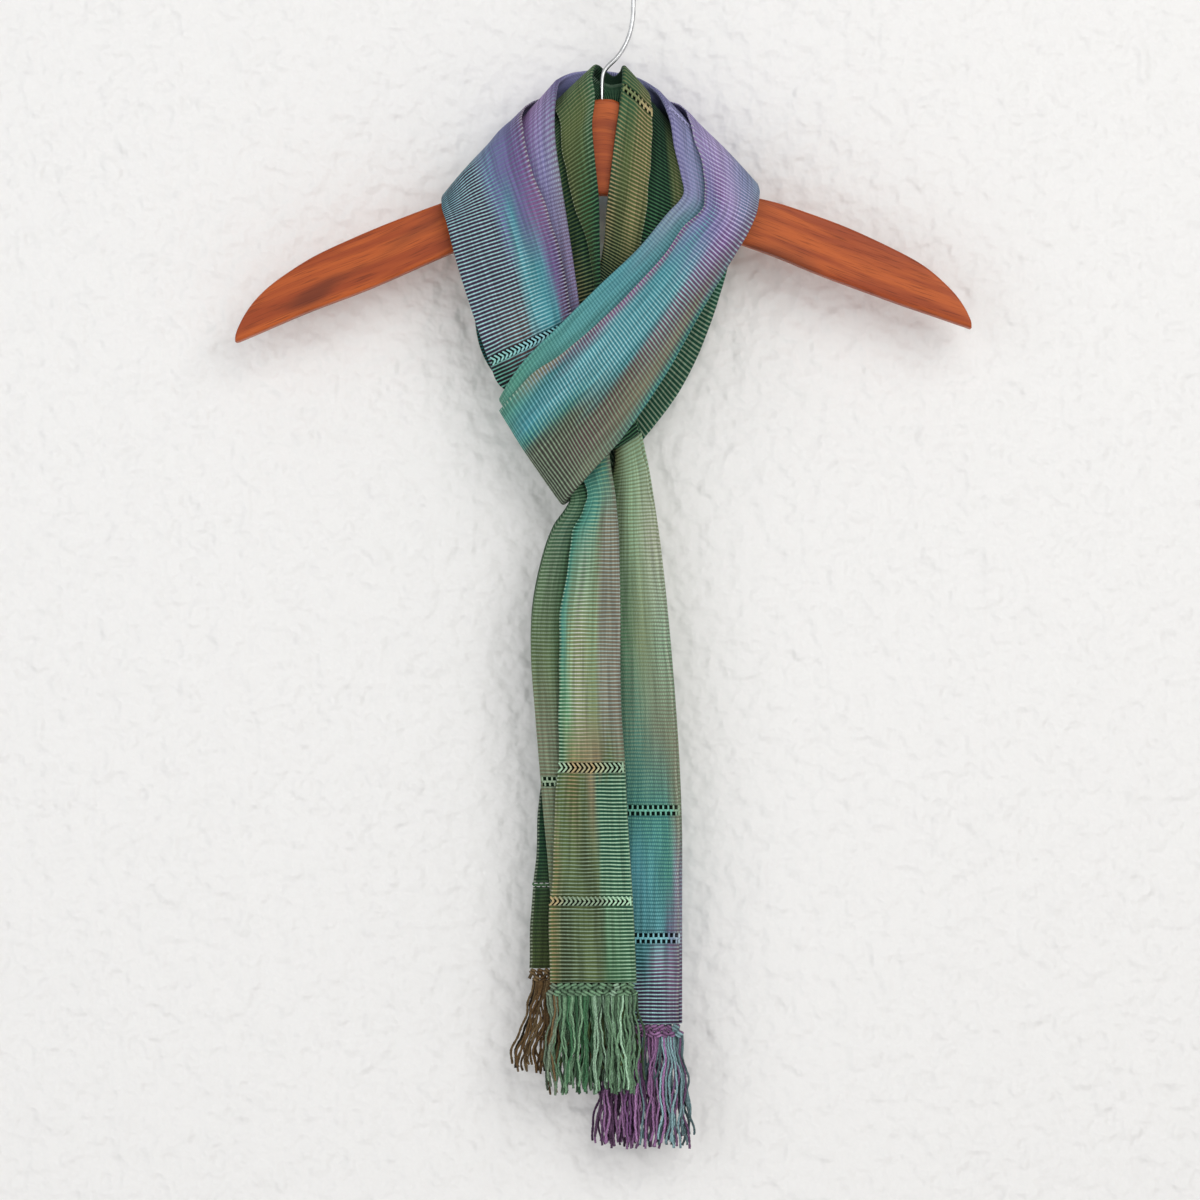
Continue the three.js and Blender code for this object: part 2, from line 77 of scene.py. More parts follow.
def smooth(value: float, low: float, high: float) -> float:
    """Returns a soft step from 0 at low to 1 at high."""
    t = clamp((value - low) / (high - low))
    return t * t * (3 - 2 * t)


def srgb(red: int, green: int, blue: int) -> Colour:
    """Returns a linear colour from display values between 0 and 255."""
    return tuple(((c / 255 + 0.055) / 1.055) ** 2.4 if c > 10 else c / 3295 for c in (red, green, blue))


def blend(a: Colour, b: Colour, t: float) -> Colour:
    """Returns the colour a share t of the way from a to b."""
    return tuple(mix(x, y, t) for x, y in zip(a, b))


def finish_object(name: str, bm: bmesh.types.BMesh, materials: Sequence[bpy.types.Material]) -> bpy.types.Object:
    """Turns a bmesh into a linked object with smooth faces.

    Args:
        name: the piece's name.
        bm: the mesh, which is freed.
        materials: the piece's material slots in order.

    Returns:
        The new object, at the origin.
    """
    mesh = bpy.data.meshes.new(name)
    for face in bm.faces:
        face.smooth = True
    bm.to_mesh(mesh)
    bm.free()
    for material in materials:
        mesh.materials.append(material)
    piece = bpy.data.objects.new(name, mesh)
    bpy.context.scene.collection.objects.link(piece)
    return piece


# ---------------------------------------------------------------------------------------
# Dyes
# ---------------------------------------------------------------------------------------


class Dye(Enum):
    """The named colours of the yarns, as display values."""

    CREAM = (198, 202, 190)
    PALE_AQUA = (160, 202, 206)
    AQUA = (110, 170, 178)
    TURQUOISE = (58, 122, 134)
    TEAL = (40, 92, 96)
    DEEP_TEAL = (22, 58, 60)
    JADE = (102, 164, 146)
    SEA = (66, 122, 110)
    MINT = (162, 198, 168)
    SAGE = (132, 152, 128)
    LEAF = (72, 120, 84)
    FERN = (50, 84, 58)
    BOTTLE = (30, 70, 54)
    DARK_BOTTLE = (13, 34, 27)
    MOSS = (112, 122, 84)
    OLIVE = (74, 88, 52)
    DARK_OLIVE = (44, 52, 30)
    TAN = (168, 150, 112)
    TAUPE = (112, 106, 88)
    TERRACOTTA = (112, 100, 86)
    BROWN = (94, 72, 44)
    DARK_BROWN = (46, 36, 22)
    SKY = (150, 168, 178)
    SLATE = (102, 116, 146)
    VIOLET = (100, 98, 142)
    LAVENDER = (156, 154, 192)
    PURPLE = (108, 80, 130)
    MAGENTA = (128, 88, 134)
    MAUVE = (98, 74, 98)
    PLUM = (58, 42, 64)
    BURGUNDY = (82, 62, 66)
    INK = (22, 20, 26)
    LILAC = (188, 180, 214)
    WISTERIA = (140, 124, 168)
    PEWTER = (158, 174, 166)
    STONE = (98, 98, 84)
    GRAPHITE = (62, 62, 56)
    REED = (122, 160, 126)
    UMBER = (128, 106, 74)
    ORCHID = (164, 120, 166)
    MIST = (150, 186, 192)

    @property
    def linear(self) -> Colour:
        """The dye as a linear colour."""
        return srgb(*self.value)


Stripe = tuple[float, Dye, Dye]


@dataclass(frozen=True)
class StripeChart:
    """Lengthwise stripes of one layer, each a place across the band with its rib crest dye
    and its ground dye. A row holds the stripes at one place along the course."""

    rows: Sequence[tuple[float, Sequence[Stripe]]]

    @staticmethod
    def _across(stripes: Sequence[Stripe], share: float) -> tuple[Colour, Colour]:
        """Returns the crest and ground colours at a share of the width."""
        if share <= stripes[0][0]:
            return stripes[0][1].linear, stripes[0][2].linear
        for left, right in zip(stripes, stripes[1:]):
            if share <= right[0]:
                t = smooth(share, left[0], right[0])
                crest = blend(left[1].linear, right[1].linear, t)
                return crest, blend(left[2].linear, right[2].linear, t)
        return stripes[-1][1].linear, stripes[-1][2].linear

    def at(self, place: float, share: float) -> tuple[Colour, Colour]:
        """Returns the crest and ground colours at a place along and a share across."""
        rows = self.rows
        if place <= rows[0][0]:
            return self._across(rows[0][1], share)
        for low, high in zip(rows, rows[1:]):
            if place <= high[0]:
                t = clamp((place - low[0]) / (high[0] - low[0]))
                a, b = self._across(low[1], share), self._across(high[1], share)
                return blend(a[0], b[0], t), blend(a[1], b[1], t)
        return self._across(rows[-1][1], share)


# ---------------------------------------------------------------------------------------
# The scarf's course
# ---------------------------------------------------------------------------------------


@dataclass(frozen=True)
class Row:
    """One rib line across the folded band: its two edges, and how far its outer layers reach."""

    inner: Vector
    outer: Vector
    front: float
    back: float


class Course:
    """A smooth run of rib lines. Each table row is the inner edge (x, y, z), the outer edge
    (x, y, z), where the upper layer's free edge lies and where the lower layer's one lies,
    as shares of the width from the inner edge."""

    def __init__(self, table: Sequence[Sequence[float]]) -> None:
        """Args:
        table: the rows, in millimetres.
        """
        self.table = table
        self.knots = [0.0]
        for a, b in zip(table, table[1:]):
            inner = math.dist(a[0:3], b[0:3])
            outer = math.dist(a[3:6], b[3:6])
            self.knots.append(self.knots[-1] + max((inner + outer) / 2, 1.0))
        self.last = len(table) - 1

    def _slope(self, i: int, column: int) -> float:
        """Returns the slope of a column at row i."""
        a, b = max(i - 1, 0), min(i + 1, self.last)
        return (self.table[b][column] - self.table[a][column]) / (self.knots[b] - self.knots[a])

    def row(self, place: float) -> Row:
        """Returns the rib line at a place counted in rows."""
        i = int(clamp(math.floor(place), 0, self.last - 1))
        t = place - i
        span = self.knots[i + 1] - self.knots[i]
        t2, t3 = t * t, t * t * t
        low, high = self.table[i], self.table[i + 1]
        values = [
            (2 * t3 - 3 * t2 + 1) * low[c]
            + (t3 - 2 * t2 + t) * span * self._slope(i, c)
            + (3 * t2 - 2 * t3) * high[c]
            + (t3 - t2) * span * self._slope(i + 1, c)
            for c in range(8)
        ]
        return Row(Vector(values[0:3]), Vector(values[3:6]), values[6], values[7])

    def section(self, place: float) -> "Section":
        """Returns the section of the band at a place."""
        step = 0.04
        before = self.row(max(place - step, 0.0))
        after = self.row(min(place + step, self.last))
        row = self.row(place)
        across = row.outer - row.inner
        inner_travel = after.inner - before.inner
        outer_travel = after.outer - before.outer
        return Section(row, across.normalized(), across.length, inner_travel, outer_travel)

    def places(self, step: float) -> list[float]:
        """Returns places along the course about step millimetres apart."""
        found = [0.0]
        for i in range(self.last):
            a, b = self.row(i), self.row(i + 1)
            middle = ((a.inner + a.outer) - (b.inner + b.outer)).length / 2
            edge = max((a.inner - b.inner).length, (a.outer - b.outer).length)
            turn = self.section(i).normal(0.5).angle(self.section(i + 1).normal(0.5))
            count = max(1, math.ceil(max(middle, edge * 0.7) / step), math.ceil(math.degrees(turn) / 9))
            found += [i + (j + 1) / count for j in range(count)]
        return found


@dataclass(frozen=True)
class Section:
    """A cut across the band: its rib line, the direction and width across, and its travel."""

    row: Row
    across: Vector
    width: float
    inner_travel: Vector
    outer_travel: Vector

    def normal(self, share: float) -> Vector:
        """Returns the cloth's outward normal at a share of the width."""
        travel = self.inner_travel.lerp(self.outer_travel, clamp(share))
        travel = travel + (self.inner_travel + self.outer_travel) / 2
        return travel.cross(self.across).normalized()

    def point(self, across: float, level: float) -> Vector:
        """Returns the point at a distance across and a height over the middle layer."""
        return self.row.inner + self.across * across + self.normal(across / self.width) * level


LOOP_COURSE = Course([
    # left band, from the knot up to the shoulder
    (24.0, -5.0, -280.0, 8.5, -5.0, -290.5, 0.10, 0.80),
    (20.5, -9.0, -269.5, 6.5, -9.5, -281.5, 0.10, 0.80),
    (14.0, -11.5, -257.0, -7.0, -12.0, -273.0, 0.10, 0.82),
    (4.0, -11.5, -240.5, -33.0, -11.2, -265.0, 0.10, 0.85),
    (-2.0, -11.4, -233.0, -47.5, -10.8, -260.0, 0.09, 0.85),
    (-6.0, -11.6, -227.5, -59.5, -11.0, -253.5, 0.09, 0.86),
    (-11.0, -12.3, -214.0, -65.5, -12.0, -240.0, 0.09, 0.88),
    (-14.0, -14.0, -195.5, -72.5, -14.0, -220.0, 0.09, 0.90),
    (-17.0, -16.5, -174.5, -80.0, -16.5, -197.0, 0.10, 0.90),
    (-20.0, -17.5, -155.0, -86.0, -17.5, -177.0, 0.13, 0.90),
    (-23.5, -18.0, -132.5, -91.0, -18.0, -157.0, 0.19, 0.90),
    (-27.0, -18.0, -107.0, -93.5, -17.5, -149.0, 0.24, 0.90),
    (-27.5, -14.5, -85.0, -93.5, -13.0, -144.0, 0.26, 0.90),
    (-26.5, -3.0, -71.5, -92.0, -1.0, -141.0, 0.25, 0.90),
    # outer collar, behind the neck
    (-24.0, 9.0, -67.0, -85.0, 11.0, -143.0, 0.20, 0.90),
    (-17.0, 15.0, -63.5, -65.0, 17.0, -145.0, 0.12, 0.90),
    (0.0, 17.5, -62.0, -6.0, 17.5, -135.5, 0.08, 0.88),
    (21.5, 15.5, -66.0, 50.5, 17.0, -139.0, 0.12, 0.86),
    (32.5, 9.0, -72.5, 84.0, 12.0, -139.0, 0.16, 0.84),
    # right band, over the shoulder and down across the knot
    (38.0, -2.0, -80.0, 92.0, -1.0, -134.0, 0.18, 0.84),
    (42.0, -14.5, -92.5, 94.0, -13.5, -139.5, 0.22, 0.84),
    (44.5, -17.8, -111.5, 94.0, -17.5, -145.0, 0.32, 0.84),
    (48.5, -17.8, -128.5, 92.5, -17.8, -152.5, 0.31, 0.84),
    (50.0, -17.8, -140.0, 87.0, -17.8, -164.5, 0.31, 0.84),
    (40.0, -18.2, -152.0, 76.0, -18.0, -183.0, 0.27, 0.82),
    (23.5, -19.0, -172.0, 60.0, -19.0, -210.0, 0.27, 0.80),
    (-1.0, -20.0, -195.5, 38.5, -20.0, -248.0, 0.24, 0.75),
    (-25.0, -20.0, -219.5, 14.5, -20.0, -283.0, 0.19, 0.70),
    (-45.0, -19.5, -239.5, -5.0, -19.5, -305.0, 0.12, 0.65),
    # round the knot's left edge and behind the tails
    (-56.5, -17.2, -255.5, -15.5, -16.8, -317.0, 0.09, 0.60),
    (-60.5, -7.0, -261.5, -20.5, -7.0, -323.5, 0.08, 0.55),
    (-56.5, 2.5, -256.0, -15.5, 2.5, -320.0, 0.08, 0.50),
    (-47.0, 6.0, -247.0, -5.0, 6.0, -315.5, 0.08, 0.45),
    (-31.0, 6.0, -230.5, 13.0, 6.0, -299.0, 0.08, 0.40),
    (-17.0, 5.0, -215.0, 30.0, 5.5, -279.5, 0.08, 0.35),
    (-7.0, 2.5, -202.0, 45.5, 4.5, -259.0, 0.08, 0.30),
    # inner right stretch, up to the shoulder
    (-2.0, -1.0, -190.0, 56.5, 2.0, -239.0, 0.08, 0.30),
    (1.0, -5.5, -178.0, 65.0, -2.0, -218.5, 0.08, 0.30),
    (3.0, -9.5, -165.5, 71.0, -6.0, -200.5, 0.08, 0.30),
    (4.0, -10.8, -151.0, 76.0, -9.5, -182.5, 0.08, 0.30),
    (6.0, -10.8, -133.0, 77.5, -10.8, -167.0, 0.08, 0.31),
    (8.5, -10.8, -111.5, 73.0, -10.8, -150.0, 0.08, 0.33),
    (11.5, -10.8, -89.0, 66.5, -10.6, -133.0, 0.08, 0.35),
    (13.0, -7.5, -73.0, 62.5, -7.0, -122.5, 0.08, 0.33),
    # inner collar, behind the neck
    (13.0, 2.0, -62.0, 61.0, 0.0, -117.5, 0.08, 0.30),
    (12.0, 8.8, -63.5, 57.0, 10.4, -121.0, 0.08, 0.30),
    (8.5, 10.8, -66.0, 3.5, 10.9, -132.0, 0.08, 0.30),
    (3.5, 9.6, -63.5, -55.0, 11.0, -126.0, 0.08, 0.34),
    (-1.0, 4.4, -61.0, -64.0, 1.8, -120.5, 0.08, 0.38),
    # inner left stretch, down into the knot
    (-4.0, -5.0, -69.5, -65.5, -7.0, -126.0, 0.08, 0.35),
    (-3.0, -10.4, -80.5, -66.5, -10.7, -134.0, 0.08, 0.32),
    (-5.0, -10.8, -97.0, -71.0, -10.8, -149.0, 0.08, 0.27),
    (-3.5, -10.8, -117.5, -72.5, -10.8, -163.0, 0.08, 0.235),
    (-1.0, -10.8, -142.0, -73.0, -10.8, -179.0, 0.08, 0.19),
    (-0.5, -10.5, -165.5, -74.5, -10.5, -195.5, 0.08, 0.10),
    (0.0, -9.0, -186.5, -74.5, -9.0, -212.5, 0.08, 0.06),
    (0.0, -6.5, -204.5, -72.0, -6.5, -228.5, 0.08, 0.06),
    (0.0, -4.5, -222.5, -66.5, -4.5, -241.0, 0.08, 0.10),
    (0.5, -4.0, -239.0, -57.5, -4.0, -253.0, 0.08, 0.20),
    (2.5, -4.0, -257.0, -47.0, -4.0, -269.0, 0.08, 0.30),
    (3.5, -4.2, -272.5, -37.0, -4.5, -286.0, 0.08, 0.45),
    (5.0, -6.0, -289.0, -29.0, -6.5, -303.0, 0.08, 0.60),
])

LEFT_TAIL_COURSE = Course([
    (5.0, -7.0, -290.5, -28.5, -7.5, -304.5, 0.90, 0.60),
    (6.5, -8.5, -303.5, -21.5, -9.0, -313.0, 0.90, 0.60),
    (9.0, -10.0, -318.5, -17.5, -10.0, -321.5, 0.90, 0.62),
    (10.0, -10.0, -329.0, -20.5, -10.0, -329.0, 0.90, 0.68),
    (11.0, -9.8, -339.5, -27.5, -9.8, -339.5, 0.90, 0.70),
    (11.5, -9.5, -357.5, -34.0, -9.5, -357.5, 0.90, 0.66),
    (12.0, -9.0, -387.5, -40.0, -9.0, -387.5, 0.90, 0.68),
    (12.0, -9.0, -417.5, -41.0, -9.0, -417.5, 0.92, 0.69),
    (12.5, -9.0, -447.5, -39.0, -9.0, -447.5, 0.94, 0.72),
    (14.5, -9.0, -477.5, -36.5, -9.0, -477.5, 0.97, 0.77),
    (16.0, -9.0, -507.5, -34.0, -9.0, -507.5, 1.05, 0.86),
    (18.0, -9.0, -540.5, -31.0, -9.0, -540.5, 1.15, 0.94),
    (20.0, -9.0, -573.5, -29.0, -9.0, -573.5, 1.25, 1.03),
    (21.5, -9.0, -610.0, -27.5, -9.0, -610.0, 1.30, 1.05),
])

RIGHT_TAIL_COURSE = Course([
    (24.5, -4.6, -281.5, 9.0, -4.4, -291.5, 0.10, 0.20),
    (26.5, -3.5, -290.5, 9.0, -3.0, -299.0, 0.10, 0.20),
    (29.5, 0.0, -305.0, 7.0, 0.0, -309.5, 0.05, 0.20),
    (32.5, 3.0, -323.5, 4.0, 3.0, -324.5, 0.03, 0.20),
    (35.5, 3.0, -344.0, 2.0, 3.0, -345.5, 0.03, 0.20),
    (38.5, 3.0, -369.5, 0.5, 3.0, -369.5, 0.03, 0.20),
    (42.0, 3.0, -405.5, 0.0, 3.0, -405.5, 0.03, 0.20),
    (45.0, 3.0, -441.5, 0.0, 3.0, -441.5, 0.03, 0.20),
    (47.5, 3.0, -480.5, 0.0, 3.0, -480.5, 0.03, 0.20),
    (49.0, 3.0, -522.5, 0.0, 3.0, -522.5, 0.03, 0.20),
    (49.0, 3.0, -561.5, 0.0, 3.0, -561.5, 0.03, 0.20),
    (49.0, 3.0, -597.5, 0.0, 3.0, -597.5, 0.03, 0.20),
    (49.0, 3.0, -636.0, 0.0, 3.0, -636.0, 0.03, 0.20),
])


# ---------------------------------------------------------------------------------------
# Stripes of the cloth, layer by layer
# ---------------------------------------------------------------------------------------

D = Dye

# Upper layer of the loop: the outer face of both bands and of the collar.
LOOP_UPPER = StripeChart((
    (1.2, ((0.0, D.LEAF, D.DARK_BOTTLE), (1.0, D.LEAF, D.DARK_BOTTLE))),
    (3.0, ((0.1, D.SLATE, D.PLUM), (0.3, D.JADE, D.DEEP_TEAL), (0.6, D.SEA, D.PLUM), (1.0, D.JADE, D.INK))),
    (5.6, ((0.1, D.SLATE, D.PLUM), (0.3, D.AQUA, D.TEAL), (0.5, D.AQUA, D.BURGUNDY), (1.0, D.JADE, D.INK))),
    (6.5, ((0.1, D.LAVENDER, D.PLUM), (0.17, D.SLATE, D.MAUVE), (0.22, D.AQUA, D.TURQUOISE), (0.45, D.PALE_AQUA, D.TURQUOISE),
           (0.56, D.PALE_AQUA, D.BURGUNDY), (1.0, D.PALE_AQUA, D.PLUM))),
    (8.0, ((0.1, D.LAVENDER, D.PLUM), (0.2, D.SLATE, D.PURPLE), (0.3, D.AQUA, D.TURQUOISE), (0.44, D.PALE_AQUA, D.TURQUOISE),
           (0.54, D.PALE_AQUA, D.PLUM), (1.0, D.PALE_AQUA, D.PLUM))),
    (9.5, ((0.13, D.LAVENDER, D.MAUVE), (0.26, D.SLATE, D.MAGENTA), (0.38, D.SLATE, D.VIOLET), (0.46, D.AQUA, D.TURQUOISE),
           (0.52, D.AQUA, D.VIOLET), (0.62, D.PALE_AQUA, D.PLUM), (1.0, D.PALE_AQUA, D.PLUM))),
    (11.0, ((0.2, D.LAVENDER, D.MAUVE), (0.32, D.SLATE, D.PURPLE), (0.5, D.SLATE, D.VIOLET), (0.58, D.AQUA, D.VIOLET),
            (0.68, D.PALE_AQUA, D.PLUM), (1.0, D.AQUA, D.PLUM))),
    (13.0, ((0.25, D.LAVENDER, D.MAUVE), (0.4, D.SLATE, D.VIOLET), (0.6, D.SLATE, D.SLATE), (0.75, D.AQUA, D.PLUM),
            (1.0, D.AQUA, D.PLUM))),
    (16.0, ((0.2, D.LAVENDER, D.VIOLET), (0.5, D.SLATE, D.VIOLET), (0.8, D.AQUA, D.PLUM), (1.0, D.AQUA, D.PLUM))),
    (20.0, ((0.2, D.LAVENDER, D.WISTERIA), (0.5, D.LILAC, D.WISTERIA), (0.8, D.LAVENDER, D.SLATE), (1.0, D.SKY, D.SLATE))),
    (22.0, ((0.31, D.SKY, D.PURPLE), (0.38, D.LAVENDER, D.VIOLET), (0.52, D.LILAC, D.PURPLE), (0.66, D.LILAC, D.WISTERIA),
            (0.85, D.LILAC, D.SLATE), (1.0, D.SKY, D.MAUVE))),
    (23.5, ((0.30, D.SKY, D.PURPLE), (0.36, D.LAVENDER, D.VIOLET), (0.46, D.AQUA, D.VIOLET), (0.58, D.LAVENDER, D.VIOLET),
            (0.76, D.LILAC, D.PURPLE), (1.0, D.SKY, D.MAUVE))),
    (25.0, ((0.27, D.SKY, D.MAGENTA), (0.31, D.SKY, D.MAUVE), (0.35, D.AQUA, D.TURQUOISE), (0.62, D.PALE_AQUA, D.TURQUOISE),
            (0.7, D.PALE_AQUA, D.MAUVE), (0.92, D.SAGE, D.BURGUNDY), (1.0, D.JADE, D.TEAL))),
    (26.5, ((0.24, D.SKY, D.MAUVE), (0.28, D.SKY, D.MAUVE), (0.32, D.PALE_AQUA, D.TURQUOISE), (0.56, D.PALE_AQUA, D.TURQUOISE),
            (0.64, D.AQUA, D.TEAL), (0.7, D.SAGE, D.BURGUNDY), (0.9, D.SAGE, D.TERRACOTTA), (1.0, D.JADE, D.TEAL))),
    (27.7, ((0.18, D.SKY, D.TAUPE), (0.23, D.AQUA, D.TEAL), (0.42, D.PALE_AQUA, D.TURQUOISE), (0.5, D.JADE, D.TEAL),
            (0.58, D.SAGE, D.GRAPHITE), (0.8, D.SAGE, D.BURGUNDY), (1.0, D.SAGE, D.STONE))),
    (29.0, ((0.1, D.JADE, D.SEA), (0.35, D.AQUA, D.TURQUOISE), (0.44, D.JADE, D.TEAL), (0.52, D.SAGE, D.GRAPHITE),
            (0.8, D.SAGE, D.GRAPHITE), (1.0, D.SAGE, D.GRAPHITE))),
    (30.5, ((0.1, D.JADE, D.SEA), (0.4, D.JADE, D.SEA), (0.5, D.SAGE, D.GRAPHITE), (1.0, D.SAGE, D.GRAPHITE))),
    (34.0, ((0.0, D.REED, D.BOTTLE), (1.0, D.SAGE, D.BOTTLE))),
    (61.0, ((0.0, D.LEAF, D.BOTTLE), (1.0, D.LEAF, D.DARK_BOTTLE))),
))

# Middle layer of the loop: the soft fold beside each selvedge, and the inner stretches.
LOOP_MIDDLE = StripeChart((
    (1.2, ((0.0, D.LEAF, D.DARK_BOTTLE), (1.0, D.LEAF, D.DARK_BOTTLE))),
    (5.0, ((0.0, D.SLATE, D.MAUVE), (0.2, D.SLATE, D.PLUM), (1.0, D.LEAF, D.INK))),
    (8.0, ((0.0, D.LAVENDER, D.MAUVE), (0.15, D.SLATE, D.MAUVE), (1.0, D.LEAF, D.INK))),
    (10.5, ((0.0, D.SKY, D.MAUVE), (0.12, D.LAVENDER, D.VIOLET), (0.25, D.SLATE, D.PURPLE), (1.0, D.SLATE, D.PLUM))),
    (13.0, ((0.0, D.SLATE, D.PURPLE), (0.12, D.LAVENDER, D.MAGENTA), (0.3, D.MAGENTA, D.PURPLE), (1.0, D.SLATE, D.PLUM))),
    (16.0, ((0.0, D.SLATE, D.VIOLET), (0.3, D.SLATE, D.PURPLE), (1.0, D.SLATE, D.PLUM))),
    (20.0, ((0.0, D.LAVENDER, D.VIOLET), (0.3, D.LAVENDER, D.SLATE), (1.0, D.SLATE, D.PLUM))),
    (22.5, ((0.0, D.LAVENDER, D.VIOLET), (0.2, D.LAVENDER, D.SLATE), (0.35, D.SLATE, D.TEAL), (1.0, D.SLATE, D.PLUM))),
    (24.0, ((0.0, D.SKY, D.SLATE), (0.3, D.AQUA, D.TEAL), (1.0, D.TEAL, D.DEEP_TEAL))),
    (25.5, ((0.0, D.AQUA, D.TURQUOISE), (0.3, D.AQUA, D.TEAL), (1.0, D.TEAL, D.DEEP_TEAL))),
    (28.5, ((0.0, D.JADE, D.SEA), (0.2, D.JADE, D.SEA), (1.0, D.TEAL, D.DEEP_TEAL))),
    (31.5, ((0.0, D.SAGE, D.SEA), (0.4, D.JADE, D.SEA), (1.0, D.SAGE, D.STONE))),
    (33.0, ((0.0, D.REED, D.BOTTLE), (1.0, D.SAGE, D.BOTTLE))),
    (37.5, ((0.0, D.LEAF, D.DARK_BOTTLE), (0.6, D.SAGE, D.BOTTLE), (1.0, D.SAGE, D.BOTTLE))),
    (39.0, ((0.0, D.LEAF, D.DARK_BOTTLE), (0.4, D.LEAF, D.DARK_BOTTLE), (0.52, D.LEAF, D.DARK_BOTTLE), (0.58, D.TAN, D.OLIVE),
            (0.7, D.JADE, D.BOTTLE), (1.0, D.JADE, D.BOTTLE))),
    (42.0, ((0.0, D.LEAF, D.BOTTLE), (0.36, D.FERN, D.DARK_BOTTLE), (0.5, D.FERN, D.DARK_BOTTLE), (0.57, D.MOSS, D.OLIVE),
            (1.0, D.FERN, D.DARK_BOTTLE))),
    (44.0, ((0.0, D.FERN, D.DARK_BOTTLE), (1.0, D.FERN, D.DARK_BOTTLE))),
    (48.5, ((0.0, D.FERN, D.DARK_BOTTLE), (1.0, D.BOTTLE, D.DARK_BOTTLE))),
    # At the inner edge, places 51 to 54, the dark green is partly the cloth's dye and partly painted shade.
    (51.0, ((0.0, D.LEAF, D.DARK_BOTTLE), (0.5, D.MOSS, D.FERN), (1.0, D.LEAF, D.DARK_BOTTLE))),
    (54.0, ((0.0, D.LEAF, D.DARK_BOTTLE), (0.25, D.OLIVE, D.DARK_BOTTLE), (0.4, D.MOSS, D.FERN), (1.0, D.TEAL, D.DARK_BOTTLE))),
    (56.0, ((0.0, D.MOSS, D.DARK_BOTTLE), (0.3, D.TAN, D.DARK_OLIVE), (1.0, D.TEAL, D.DARK_BOTTLE))),
    (61.0, ((0.0, D.MOSS, D.DARK_BOTTLE), (1.0, D.TEAL, D.DARK_BOTTLE))),
))

# Lower layer of the loop: the inside of the outer collar, and the inner stretches' panels.
LOOP_LOWER = StripeChart((
    (4.0, ((0.0, D.LEAF, D.DARK_BOTTLE), (1.0, D.LEAF, D.DARK_BOTTLE))),
    (12.0, ((0.0, D.LAVENDER, D.PURPLE), (0.2, D.SLATE, D.VIOLET), (1.0, D.LEAF, D.DARK_BOTTLE))),
    (14.0, ((0.0, D.LAVENDER, D.VIOLET), (0.1, D.SLATE, D.VIOLET), (0.3, D.FERN, D.INK), (1.0, D.FERN, D.DARK_BOTTLE))),
    (19.0, ((0.0, D.LAVENDER, D.SLATE), (0.1, D.SLATE, D.VIOLET), (0.3, D.FERN, D.INK), (1.0, D.FERN, D.DARK_BOTTLE))),
    (22.0, ((0.0, D.LAVENDER, D.VIOLET), (0.2, D.SLATE, D.VIOLET), (1.0, D.FERN, D.DARK_BOTTLE))),
    (25.0, ((0.0, D.JADE, D.TEAL), (1.0, D.SAGE, D.GRAPHITE))),
    (30.0, ((0.0, D.JADE, D.BOTTLE), (1.0, D.SAGE, D.GRAPHITE))),
    (35.0, ((0.0, D.SAGE, D.BOTTLE), (1.0, D.SAGE, D.BOTTLE))),
    (37.0, ((0.0, D.MOSS, D.DARK_BOTTLE), (0.3, D.MOSS, D.DARK_OLIVE), (1.0, D.JADE, D.BOTTLE))),
    (39.0, ((0.0, D.TAN, D.DARK_OLIVE), (0.1, D.MOSS, D.DARK_OLIVE), (0.2, D.TAN, D.OLIVE), (0.3, D.MOSS, D.DARK_OLIVE),
            (1.0, D.JADE, D.BOTTLE))),
    (41.0, ((0.0, D.TAN, D.FERN), (0.12, D.MOSS, D.OLIVE), (0.22, D.TAN, D.OLIVE), (0.31, D.TAN, D.OLIVE), (1.0, D.JADE, D.BOTTLE))),
    (42.5, ((0.0, D.MOSS, D.FERN), (0.12, D.MOSS, D.FERN), (0.24, D.TAN, D.OLIVE), (0.33, D.TAN, D.OLIVE), (1.0, D.JADE, D.BOTTLE))),
    (44.0, ((0.0, D.MOSS, D.FERN), (0.3, D.MOSS, D.OLIVE), (1.0, D.JADE, D.BOTTLE))),
    (45.0, ((0.0, D.FERN, D.DARK_BOTTLE), (0.3, D.FERN, D.DARK_BOTTLE), (1.0, D.JADE, D.BOTTLE))),
    (48.0, ((0.0, D.MOSS, D.FERN), (0.3, D.MOSS, D.FERN), (1.0, D.JADE, D.BOTTLE))),
    (50.5, ((0.0, D.SAGE, D.FERN), (0.12, D.MOSS, D.OLIVE), (0.23, D.MOSS, D.OLIVE), (1.0, D.JADE, D.BOTTLE))),
    (53.0, ((0.0, D.LEAF, D.DARK_BOTTLE), (0.1, D.LEAF, D.DARK_OLIVE), (0.21, D.MOSS, D.DARK_OLIVE), (1.0, D.JADE, D.BOTTLE))),
    (55.0, ((0.0, D.LEAF, D.DARK_BOTTLE), (0.1, D.OLIVE, D.DARK_OLIVE), (1.0, D.JADE, D.BOTTLE))),
    (61.0, ((0.0, D.MOSS, D.DARK_BOTTLE), (1.0, D.JADE, D.BOTTLE))),
))

